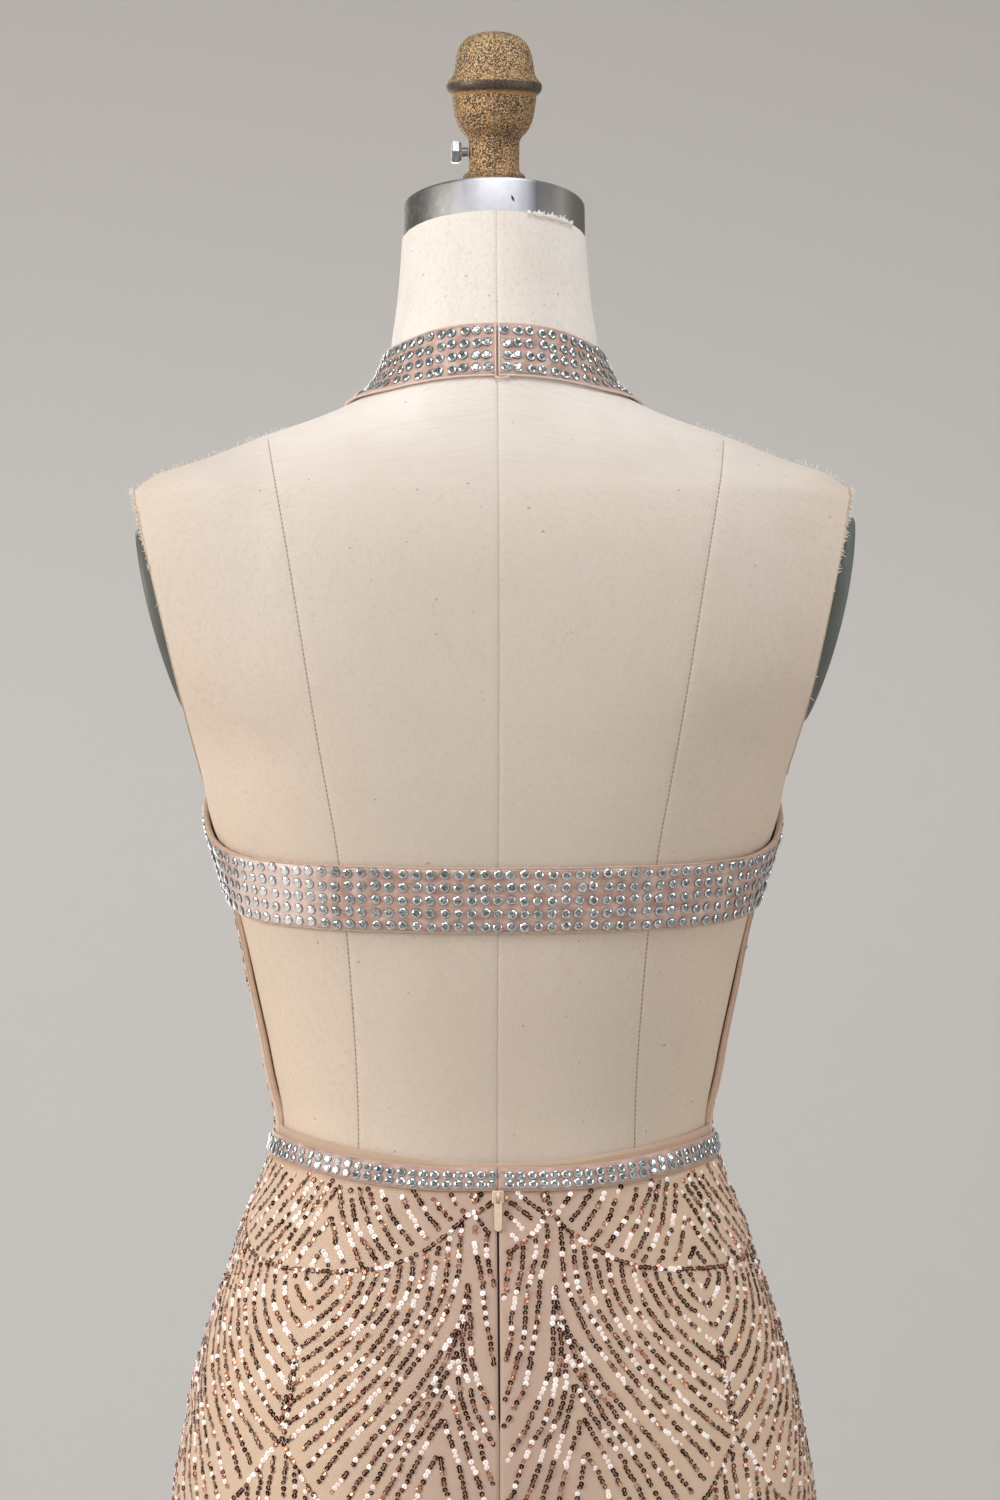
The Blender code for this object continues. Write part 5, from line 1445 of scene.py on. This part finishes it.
def stones_along(first, last, mirrored, name, surface):
    """Rows of stones along a halter band's run of the path."""
    spots, ways = [], []
    for number, share in enumerate(NECK_ROWS):
        steps = np.arange(int((last - first - 2 * NECK_STONE) / NECK_STONE_PITCH) + 1)
        run = first + NECK_STONE * 1.45 + NECK_STONE_PITCH * (steps + 0.06 * np.sin(steps * 2.7 + number))
        run = run[run < last - NECK_STONE * 1.2]
        run = run + rng.normal(size=len(run)) * 0.00030
        share = share + rng.normal(size=len(run)) * 0.011
        angle, height, out, ahead = band_places(run, share)
        mirror = MIRROR if mirrored else 1.0
        spots.append(cloth(angle, height, out + 0.003) * mirror)
        ways.append(ahead * mirror)
    set_stones(name, surface, np.concatenate(spots), np.concatenate(ways), NECK_STONE)


JOINT = side_joint()
PATH_END = PATH_RUN[-1]
band_surfaces = []
for mirrored, side_name in ((False, "left"), (True, "right")):
    halter, halter_edges, halter_surface = band_piece(
        f"halter_{side_name}", f"halter_band_{side_name}", [(NECK_SLIT, JOINT - SEAM, mirrored)]
    )
    stones_along(NECK_SLIT, JOINT - SEAM, mirrored, f"halter_{side_name}_stones", halter_surface)
    band_surfaces.append(halter_surface)

strap, strap_edges, strap_surface = band_piece(
    "strap_across_back", "back_strap", [(JOINT + SEAM, PATH_END, False), (PATH_END, JOINT + SEAM, True)]
)
band_surfaces.append(strap_surface)


def strap_stones():
    """Five rows across the back, even from the middle outwards."""
    length = PATH_END - JOINT
    count = int((length - STRAP_STONE * 1.3) / STRAP_STONE_PITCH)
    from_middle = np.arange(-count, count + 1) * STRAP_STONE_PITCH
    spots, ways = [], []
    for share in STRAP_ROWS:
        offsets = from_middle + rng.normal(size=len(from_middle)) * 0.00030
        shares = share + rng.normal(size=len(offsets)) * 0.009
        angle, height, out, ahead = band_places(PATH_END - np.abs(offsets), shares)
        mirror = np.where(offsets < 0, 1.0, -1.0)[:, None] * np.array([1.0, 0, 0]) + np.array([0, 1.0, 1.0])
        spots.append(cloth(angle, height, out + 0.003) * mirror)
        ways.append(ahead * mirror)
    set_stones("strap_stones", strap_surface, np.concatenate(spots), np.concatenate(ways), STRAP_STONE)


strap_stones()


def skirt_out(angle, height):
    """From the figure to the skirt's inner face, with room for the zip's tape at centre back."""
    x = figure(angle, height)[..., 0]
    behind = np.cos(angle) > 0
    over_tape = np.exp(-((x / ZIP_SPREAD) ** 2)) * behind * ease((height - ZIP_END + 0.05) / 0.04)
    return CLEARANCE + ZIP_ALLOWANCE * over_tape


def waist_band():
    """The narrow band at the waist with two rows of stones, slit at centre back."""
    slit = SEAM / section(WAIST_HEIGHT, "back")
    angles = np.linspace(slit, 2 * pi - slit, 361)
    rise = np.linspace(-0.5, 0.5, 6) * WAIST_BAND_WIDTH
    heights = waist(angles)[None, :] + rise[:, None]
    turns = np.broadcast_to(angles, heights.shape)
    out = skirt_out(turns, heights) + WALL + BAND_LIFT
    points, normals = cloth(turns, heights, out), outward(turns, heights)
    mesh, surface = grid_wall("waist_stone_band", points, normals, BAND_WALL, [SATIN, BINDING])
    band = put("waist_stone_band", mesh, ["waist_band"])
    piping = [
        tube(points[row] + normals[row] * 0.0006, PIPING_RADIUS, 6, facing=normals[row]) for row in (0, -1)
    ]
    edges = put_solid("waist_band_edges", *joined(piping), BINDING, "stone_band")
    middle = cloth(angles, waist(angles), skirt_out(angles, waist(angles)))
    run = np.concatenate([[0.0], np.linalg.norm(np.diff(middle, axis=0), axis=1).cumsum()])
    spots, ways = [], []
    for row_rise in WAIST_ROWS:
        at = np.arange(WAIST_STONE * 1.2, run[-1] - WAIST_STONE * 1.1, WAIST_STONE_PITCH)
        at = at + rng.normal(size=len(at)) * 0.00018
        turn = np.interp(at, run, angles)
        height = waist(turn) + row_rise + rng.normal(size=len(at)) * 0.00012
        spots.append(cloth(turn, height, skirt_out(turn, height) + 0.006))
        after, before = (cloth(near, waist(near), 0.001) for near in (turn + 0.01, turn - 0.01))
        ways.append(unit(after - before))
    set_stones("waist_stones", surface, np.concatenate(spots), np.concatenate(ways), WAIST_STONE)


# ---- Gown panels --------------------------------------------------------------------------------------


def creases(angle, height):
    """Soft troughs and ridges at their listed spots."""
    total = np.zeros(np.broadcast(angle, height).shape)
    for row in CREASES:
        crease = dict(zip(CREASE_COLUMNS, row))
        turn = (angle - radians(crease["from_deg"]) + pi) % (2 * pi) - pi
        reach = radians(crease["to_deg"] - crease["from_deg"])
        reach = (reach + pi) % (2 * pi) - pi
        across, down = turn * CREASE_REACH, height - crease["from_height"]
        run_x, run_z = reach * CREASE_REACH, crease["to_height"] - crease["from_height"]
        length = (run_x**2 + run_z**2) ** 0.5
        along = (across * run_x + down * run_z) / length**2
        aside = (across * run_z - down * run_x) / length
        half = crease["half_width_mm"] / 1000 * (0.7 + 0.6 * np.clip(along, 0, 1))
        shape = np.exp(-((aside / half) ** 2)) * ease(along / 0.35) * ease((1 - along) / 0.35)
        total = total + crease["depth_mm"] / 1000 * shape * (along > 0) * (along < 1)
    return total


def skirt_piece(name, node, first, last, columns):
    """A panel of the skirt from the waist seam to the hem."""
    share = np.linspace(0, 1, columns + 1)
    fitted, flared = np.arange(1.0575, KNEE, -0.0045), np.arange(KNEE, HEM_HEIGHT, -0.0075)
    levels = np.concatenate([fitted, flared, [HEM_HEIGHT]])
    heights, angles = [], []
    for level in (None, *levels):
        near = WAIST_HEIGHT if level is None else level
        angle = first(near) + (last(near) - first(near)) * share
        angles.append(angle)
        heights.append(waist(angle) - SEAM if level is None else np.full_like(angle, level))
    angles, heights = np.array(angles), np.array(heights)
    heights = np.minimum(heights, waist(angles) - SEAM - 0.0005 * (np.arange(len(heights)) > 0)[:, None])
    seams = ease(np.minimum(share, 1 - share) / 0.02)[None, :]
    fold = creases(angles, heights) * seams * ease((waist(angles) - heights - 0.006) / 0.012)
    out = skirt_out(angles, heights) + np.maximum(fold, -0.0008 - 0.002 * (heights < 0.78))
    points, normals = cloth(angles, heights, out), outward(angles, heights)
    mesh, surface = grid_wall(name, points, normals, WALL, [NET, LINING])
    return put(name, mesh, [node]), surface


def side_share(height):
    return SEAM / section(height, "half_width")


def centre_back(height):
    opening = SEAM + (ZIP_OPENING - SEAM) * ease((height - ZIP_END) / 0.012)
    return opening / section(height, "back")


# Each panel: its node, the angles at its two sides, and its columns.
PANELS = {
    "front": ("skirt_front", lambda h: pi / 2 + side_share(h), lambda h: 3 * pi / 2 - side_share(h), 132),
    "back_left": ("skirt_back_left", centre_back, lambda h: pi / 2 - side_share(h), 66),
    "back_right": (
        "skirt_back_right", lambda h: 3 * pi / 2 + side_share(h), lambda h: 2 * pi - centre_back(h), 66,
    ),
}  # fmt: skip
panel_items, panel_surfaces = {}, {}
for panel_name, (node_name, first, last, columns) in PANELS.items():
    panel_items[panel_name], panel_surfaces[panel_name] = skirt_piece(
        f"{node_name}_cloth", node_name, first, last, columns
    )


def edge_at(shares, rows, start):
    """Angle and height along one edge of the bodice's half, from its place on the waist seam."""
    table = (start, *rows)
    knots = column(table, EDGE_COLUMNS, "share")
    angles = smooth(shares, knots, np.radians(column(table, EDGE_COLUMNS, "angle_deg")))
    return angles, smooth(shares, knots, column(table, EDGE_COLUMNS, "height"))


SIDE_WAIST = (0.0, WAIST_EDGE_DEG, float(waist(radians(WAIST_EDGE_DEG))) + SEAM)
FRONT_WAIST = (0.0, 180, float(waist(pi)) + SEAM)


def bodice():
    """The halter front, with a plain pointed neckline, as one wall from both halves."""
    shares = np.concatenate([np.linspace(0, NECKLINE_POINT, 49), np.linspace(NECKLINE_POINT, 1, 37)[1:]])
    outer_angle, outer_height = edge_at(shares, BODICE_OUTER, SIDE_WAIST)
    inner_angle, inner_height = edge_at(shares, BODICE_INNER, FRONT_WAIST)
    inner_angle = np.where(shares <= NECKLINE_POINT, pi, np.minimum(inner_angle, pi - 0.002))
    share = np.linspace(0, 1, 41)[None, :]
    angle = outer_angle[:, None] + (inner_angle - outer_angle)[:, None] * share
    height = outer_height[:, None] + (inner_height - outer_height)[:, None] * share
    height[0] = waist(angle[0]) + SEAM
    side_edge = (1 - ease(share / 0.25)) * (1 - ease((shares[:, None] - 0.3) / 0.15))
    above_band = ease((shares[:, None] - 0.05) / 0.1)
    points = cloth(angle, height, CLEARANCE + (BODICE_LIFT + SIDE_STAND_OFF * side_edge) * above_band)
    points[:, -1, 0] = np.where(shares <= NECKLINE_POINT, 0.0, points[:, -1, 0])
    normals = outward(angle, height)
    normals[shares <= NECKLINE_POINT, -1, 0] = 0.0
    normals = unit(normals)
    rows, columns = angle.shape
    numbers = np.arange(rows * columns).reshape(rows, columns)
    other = numbers + rows * columns
    joined_rows = shares <= NECKLINE_POINT
    other[joined_rows, -1] = numbers[joined_rows, -1]
    faces = np.concatenate([quads(numbers), quads(other)[:, ::-1]])
    every = np.concatenate([points.reshape(-1, 3), (points * MIRROR).reshape(-1, 3)])
    every_normal = np.concatenate([normals.reshape(-1, 3), (normals * MIRROR).reshape(-1, 3)])
    uv = measures(points[:, ::-1])[:, ::-1].reshape(-1, 2)
    uv = np.concatenate([uv, uv * np.array([-1.0, 1.0])])
    used = np.unique(faces)
    fresh = np.full(len(every), -1)
    fresh[used] = np.arange(len(used))
    faces = fresh[faces]
    every, every_normal, uv = every[used], every_normal[used], uv[used]
    mesh = wall_mesh("bodice_cloth", every, every_normal, faces, WALL, [NET, LINING], uv)
    item = put("bodice_cloth", mesh, ["front_bodice"])
    edges = []
    for sign in (np.ones(3), MIRROR):
        side = joined_rows & (shares < 0.48)
        thick = 0.0016 - 0.0005 * ease(shares[side] / 0.48)
        edges.append(tube((points[side, 0] - normals[side, 0] * 0.0008) * sign, thick, 8,
                          facing=normals[side, 0] * sign))  # fmt: skip
    neckline = points[~joined_rows, -1] + normals[~joined_rows, -1] * 0.0006
    neckline = np.concatenate([neckline[::-1], neckline * MIRROR])
    edges.append(tube(neckline, 0.0008, 6, facing=(0.0, -0.8, 0.6)))
    rim = put_solid("bodice_edges", *joined(edges), BINDING, "nude_lining")
    return item, rim, Surface(every + WALL * every_normal, faces, every_normal)


bodice_item, bodice_rim, bodice_surface = bodice()


def waist_facing():
    """The strip of lining that shows above the waist band across the back, with its turned edge."""
    edge = radians(WAIST_EDGE_DEG) - 2 * SEAM / section(WAIST_HEIGHT, "half_width")
    angles = np.linspace(-edge, edge, 141)
    shows = FACING_SHOWS * (0.45 + 0.55 * ease((np.abs(angles) - 0.15) / 0.6))
    rise = np.linspace(SEAM, WAIST_BAND_WIDTH / 2 + shows, 7)
    heights = waist(angles)[None, :] + rise
    turns = np.broadcast_to(angles, heights.shape)
    points, normals = cloth(turns, heights, skirt_out(turns, heights)), outward(turns, heights)
    mesh, _ = grid_wall("waist_facing_cloth", points, normals, WALL, [LINING, LINING])
    facing = put("waist_facing_cloth", mesh, ["waist_facing"])
    roll = tube(points[-1] + normals[-1] * 0.0006, 0.00066, 6, facing=normals[-1])
    edge_item = put_solid("waist_facing_edge", *roll, BINDING, "nude_lining")


waist_band()
waist_facing()

# ---- Zip ----------------------------------------------------------------------------------------------


def zip_strip():
    """The tape behind the back panels, and the closed coil between their edges."""
    top = float(waist(0.0)) - SEAM
    heights = np.linspace(top, ZIP_END - 0.004, 50)[:, None]
    x = np.linspace(-TAPE_WIDTH / 2, TAPE_WIDTH / 2, 11)[None, :]
    angles = x / section(heights, "back")
    heights = heights + 0 * x
    points, normals = cloth(angles, heights, np.full(heights.shape, TAPE_OUT)), outward(angles, heights)
    mesh, _ = grid_wall("zip_tape_cloth", points, normals, TAPE_WALL, [TAPE, TAPE])
    tape = put("zip_tape_cloth", mesh, ["zip_tape"])
    parts = []
    last = top - WAIST_BAND_WIDTH / 2 - SLIDER_LENGTH
    tooth_radius, tooth_pitch = 0.00034, 0.0012
    reach, rise = np.array([-0.0002, 0.0004, 0.00085, 0.0013]), np.array([0.0, 0.0002, 0.0002, 0.0])
    for number, height in enumerate(np.arange(ZIP_END, last, tooth_pitch)):
        side = 1 if number % 2 else -1
        level = np.full(4, height)
        path = cloth(reach * side / section(level, "back"), level, TAPE_OUT + TAPE_WALL + 0.00035 + rise)
        parts.append(tube(path, tooth_radius, 5, facing=(0.0, 0.0, 1.0)))
    put("zip_coil", mesh_of("zip_coil", *joined(parts), [COIL]))


zip_strip()
repaint(["zip_slider", "zip_pull_tab"], ENAMEL)
repaint(["neck_hook"], BINDING)

# ---- Sequins ------------------------------------------------------------------------------------------


def smile(distance):
    """Drop of a cell's closing strand below its corners, at a distance from its axis of Vs."""
    return SMILE_DEPTH * (1 - (distance / CELL_HALF) ** 3)


def cell_strands():
    """Strands of half a cell, each as distances from its axis of Vs and drops below its upper corner."""
    arc = np.linspace(0, CELL_HALF, 26)
    strands = [(arc, smile(arc))]
    for number in range(1, FROM_SMILE + len(PEAKS) + 1):
        end = np.array([0.0, SMILE_DEPTH + VEE_STEP * number])
        if number <= FROM_SMILE:
            start, lean = np.array([SMILE_STEP * number, smile(SMILE_STEP * number)]), 0.0
        else:
            drop, degrees = PEAKS[number - FROM_SMILE - 1]
            start, lean = np.array([CELL_HALF, drop]), radians(degrees)
        reach = (end[1] - start[0] * tan(VEE_SLOPE) - start[1]) / (cos(lean) - sin(lean) * tan(VEE_SLOPE))
        corner = start + reach * np.array([-sin(lean), cos(lean)])
        t = np.linspace(0.012, 1, 34)[:, None]
        path = (1 - t) ** 2 * start + 2 * t * (1 - t) * corner + t**2 * end
        kept = path[:, 1] < HALF_DROP + smile(CELL_HALF - path[:, 0]) - 0.0012
        if kept.sum() > 2:
            strands.append((path[kept, 0], path[kept, 1]))
    drops = np.linspace(SMILE_DEPTH + 4 * VEE_STEP, HALF_DROP - 0.003, 26)
    strands.append((np.full(26, 0.0011), drops))
    return strands


class Half:
    """One half of the gown, front or back: its pattern's measures from centre line and waist to places."""

    def __init__(self, start, side, bottom, top, shift):
        self.levels = np.arange(bottom, top, LEVEL_STEP)
        turns = np.linspace(0, pi / 2, 361)
        self.angles = start + side * turns
        points = figure(self.angles[None, :], self.levels[:, None], BRIDGE)
        run = np.pad(np.linalg.norm(np.diff(points, axis=1), axis=-1).cumsum(axis=1), ((0, 0), (1, 0)))
        self.quarter = run[:, -1]
        self.arcs = np.arange(0, self.quarter.max() + 2 * ARC_STEP, ARC_STEP)
        self.table = np.array([np.interp(self.arcs, row, self.angles) for row in run])
        reference = figure(start + side * radians(32), self.levels, BRIDGE)
        down = np.concatenate([[0.0], np.linalg.norm(np.diff(reference, axis=0), axis=1).cumsum()])
        self.drop = np.interp(PATTERN_TOP, self.levels, down) - down
        self.shift = shift

    def heights(self, drops):
        return np.interp(drops, self.drop[::-1], self.levels[::-1])

    def place(self, across, drops):
        """Angle and height of places given from the panel's own axis, and whether they are on it."""
        height = self.heights(drops)
        quarter = np.interp(height, self.levels, self.quarter)
        top, bottom, drawn = EASED
        arc = across * (1 - (1 - drawn) * ease((height - bottom) / (top - bottom)))
        arc = arc + AXIS_SHARE * quarter + self.shift
        inside = (arc > 0.0012) & (arc < quarter - 0.0012)
        inside &= (drops < self.drop[0] - 0.0015) & (drops > self.drop[-1])
        row = np.clip((height - self.levels[0]) / LEVEL_STEP, 0, len(self.levels) - 1.001)
        col = np.clip(arc / ARC_STEP, 0, len(self.arcs) - 1.001)
        r, c = row.astype(int), col.astype(int)
        fr, fc = row - r, col - c
        low = self.table[r, c] * (1 - fc) + self.table[r, c + 1] * fc
        high = self.table[r + 1, c] * (1 - fc) + self.table[r + 1, c + 1] * fc
        return low * (1 - fr) + high * fr, height, inside


def sewn_places(half, tiers, wanted, out):
    """Place, direction, swell and strand tone of every sequin of a half."""
    across, drops, owner, count = [], [], [], 0
    reach = half.quarter.max() / 2 + CELL_HALF
    for tier in tiers:
        offset = 0.0 if tier % 2 == 0 else CELL_HALF
        for cell in range(-6, 7):
            axis = offset + 2 * CELL_HALF * cell
            if abs(axis) > reach + CELL_HALF:
                continue
            for side in (1, -1):
                for distance, drop in STRANDS:
                    p = axis + side * distance
                    q = tier * HALF_DROP + drop
                    q = q + DEEPER * ease((q - HALF_DROP) / 0.035)
                    p = p + 0.0005 * np.sin(q * 160 + 1.7 * count)
                    across.append(p)
                    drops.append(q)
                    owner.append(np.full(len(p), count))
                    count += 1
    across, drops, owner = (np.concatenate(part) for part in (across, drops, owner))
    angle, height, inside = half.place(across, drops)
    inside &= wanted(angle, height)
    points = np.zeros((len(angle), 3))
    points[inside] = cloth(angle[inside], height[inside], np.full(inside.sum(), out))
    edges = np.flatnonzero(np.diff(owner)) + 1
    found = []
    for piece in np.split(np.arange(len(owner)), edges):
        ok = inside[piece]
        if not ok.any():
            continue
        breaks = np.flatnonzero(np.diff(ok.astype(int))) + 1
        for run in np.split(piece, breaks):
            if not inside[run[0]] or len(run) < 2:
                continue
            path = points[run]
            length = np.concatenate([[0.0], np.linalg.norm(np.diff(path, axis=0), axis=1).cumsum()])
            at = np.arange(rng.uniform(0.1, 0.9) * SEQUIN_PITCH, length[-1], SEQUIN_PITCH)
            if not len(at):
                continue
            at = np.clip(at + rng.normal(size=len(at)) * SEQUIN_STRAY, 0, length[-1])
            ahead = unit(np.gradient(path, axis=0))
            spot = np.stack([np.interp(at, length, path[:, i]) for i in range(3)], axis=-1)
            way = np.stack([np.interp(at, length, ahead[:, i]) for i in range(3)], axis=-1)
            swell = np.sin(at / 0.0075 + rng.uniform(0, 6)) + np.sin(at / 0.0031 + rng.uniform(0, 6))
            found.append((spot, unit(way), swell / 2, np.full(len(at), rng.normal())))
    spots, ways, swells, own = (np.concatenate(part) for part in zip(*found))
    kept = rng.uniform(size=len(spots)) > SEQUIN_MISSING
    return spots[kept], ways[kept], swells[kept], own[kept]


def ring_shape(sides, cupped=True):
    """A disc of radius 1 with its small hole, cupped where it is seen from near."""
    turns = [2 * pi * i / sides for i in range(sides)]
    rows = ((1.0, 0.0), (0.62, 0.08)) if cupped else ((1.0, 0.0),)
    rows = (*rows, (SEQUIN_HOLE / SEQUIN_RADIUS, 0.10))
    points = [(r * cos(t), r * sin(t), h) for r, h in rows for t in turns]
    faces = []
    for row in range(len(rows) - 1):
        for i in range(sides):
            a, b = row * sides + i, row * sides + (i + 1) % sides
            faces.append((a, b, b + sides, a + sides))
    return points, faces


def disc_shape(sides):
    points = [(cos(2 * pi * i / sides), sin(2 * pi * i / sides), 0.0) for i in range(sides)]
    return points, [tuple(range(sides))]


def sew(name, surface, spots, ways, swells, own, shape):
    """Sequins set down on a cloth, each tipped along its strand and a little at random."""
    places, normals = surface.settle(spots, SEQUIN_LIFT)
    count = len(places)
    across = unit(np.cross(normals, ways))
    tip = 0.14 + 0.16 * swells + rng.normal(size=count) * 0.20
    roll = 0.20 * swells + rng.normal(size=count) * 0.26
    tipped = unit(normals + tip[:, None] * ways + roll[:, None] * across)
    places = places + across * (rng.normal(size=count) * 0.00025)[:, None]
    # Painted reflections: most sequins get near-black tones, copper ones come more often where they are seen
    # edge-on, and pale glints fall in runs where a strand swells.
    edgewise = ease((np.abs(normals[:, 0]) - 0.55) / 0.35)
    copper = rng.uniform(size=count) < 0.22 + 0.45 * edgewise
    tone = np.where(copper, rng.uniform(0.30, 0.74, count), rng.uniform(0.0, 0.22, count))
    bright = rng.uniform(size=count) < 0.07 + (0.74 - 0.40 * edgewise) * (swells + 0.06 * own > 0.40)
    tone = np.where(bright, rng.uniform(0.86, 1.0, count), tone)
    sizes = SEQUIN_RADIUS * rng.uniform(0.93, 1.05, count)
    put(name, scattered(name, *shape, places, tipped, ways, sizes, tone, SEQUIN))


def sew_threads(name, surface, spots, ways):
    """The pale stitches over and between sequins, as short flat runs along each strand."""
    places, normals = surface.settle(spots + ways * SEQUIN_RADIUS * 0.7, SEQUIN_LIFT + 0.00034)
    points = [(-1.0, -0.10, 0.0), (1.0, -0.10, 0.0), (1.0, 0.10, 0.0), (-1.0, 0.10, 0.0)]
    sizes = SEQUIN_PITCH * rng.uniform(0.24, 0.44, len(places))
    ways = unit(ways + rng.normal(size=ways.shape) * 0.14)
    tones = np.zeros(len(places))
    mesh = scattered(name, points, [(0, 1, 2, 3)], places, normals, ways, sizes, tones, THREAD)
    put(name, mesh)


STRANDS = cell_strands()
PLAIN_RING = ring_shape(6, False)


def below_band(angle, height):
    return height < waist(angle) - WAIST_BAND_WIDTH / 2 - 0.0008


def off_the_zip(angle, height):
    x = figure(angle, height)[..., 0]
    return below_band(angle, height) & ((np.abs(x) > 0.0019) | (height < ZIP_END))


def on_bodice(angle, height):
    """Whether places on the +X half lie inside the bodice's edges."""
    shares = np.linspace(0, 1, 200)
    outer_angle, outer_height = edge_at(shares, BODICE_OUTER, SIDE_WAIST)
    inner_angle, inner_height = edge_at(shares, BODICE_INNER, FRONT_WAIST)
    turn = np.where(angle > pi, 2 * pi - angle, angle)
    top = np.interp(turn, [outer_angle[-1], inner_angle[-1]], [outer_height[-1], inner_height[-1]])
    within = (turn > np.interp(height, outer_height, outer_angle) + 0.012) & (height < top - 0.002)
    neckline = inner_height > 1.2999  # from the neckline's point upwards
    limit = np.interp(height, inner_height[neckline], inner_angle[neckline], left=4.0)
    return within & (turn < limit - 0.014) & (height > waist(turn) + WAIST_BAND_WIDTH / 2 + 0.0018)


def dress_skirt():
    halves = (
        ("back_left", 0.0, 1, off_the_zip),
        ("back_right", 2 * pi, -1, off_the_zip),
        ("front", pi, -1, below_band),
        ("front", pi, 1, below_band),
    )
    for panel, start, side, wanted in halves:
        half = Half(start, side, HEM_HEIGHT, 1.075, AXIS_SHIFT[panel])
        tiers = range(-1, int(half.drop[0] / HALF_DROP) + 1)
        spots, ways, swells, own = sewn_places(half, tiers, wanted, CLEARANCE + WALL + 0.0025)
        name = f"sequins_{panel}" if panel != "front" else f"sequins_front_{'left' if side < 0 else 'right'}"
        ringed = spots[:, 2] > RINGED_ABOVE
        surface = panel_surfaces[panel]
        upper, lower = ([part[rows] for part in (spots, ways, swells, own)] for rows in (ringed, ~ringed))
        sew(f"{name}_rings", surface, *upper, PLAIN_RING if panel == "front" else ring_shape(8))
        sew(f"{name}_discs", surface, *lower, disc_shape(5))
        sew_threads(f"{name}_threads", surface, *upper[:2])
        SEWN[panel] = [*SEWN.get(panel, []), f"{name}_rings", f"{name}_discs", f"{name}_threads"]


def dress_bodice():
    for side, side_name in ((-1, "left"), (1, "right")):
        half = Half(pi, side, 1.045, 1.462, 0.0)
        spots, ways, swells, own = sewn_places(half, range(-5, 1), on_bodice, CLEARANCE + WALL + 0.003)
        clear = np.ones(len(spots), bool)
        for surface in band_surfaces:
            clear &= surface.away(spots) > 0.0042
        parts = [part[clear] for part in (spots, ways, swells, own)]
        sew(f"sequins_bodice_{side_name}", bodice_surface, *parts, PLAIN_RING)
        SEWN["bodice"] = [*SEWN.get("bodice", []), f"sequins_bodice_{side_name}"]


SEWN = {}
dress_skirt()
dress_bodice()
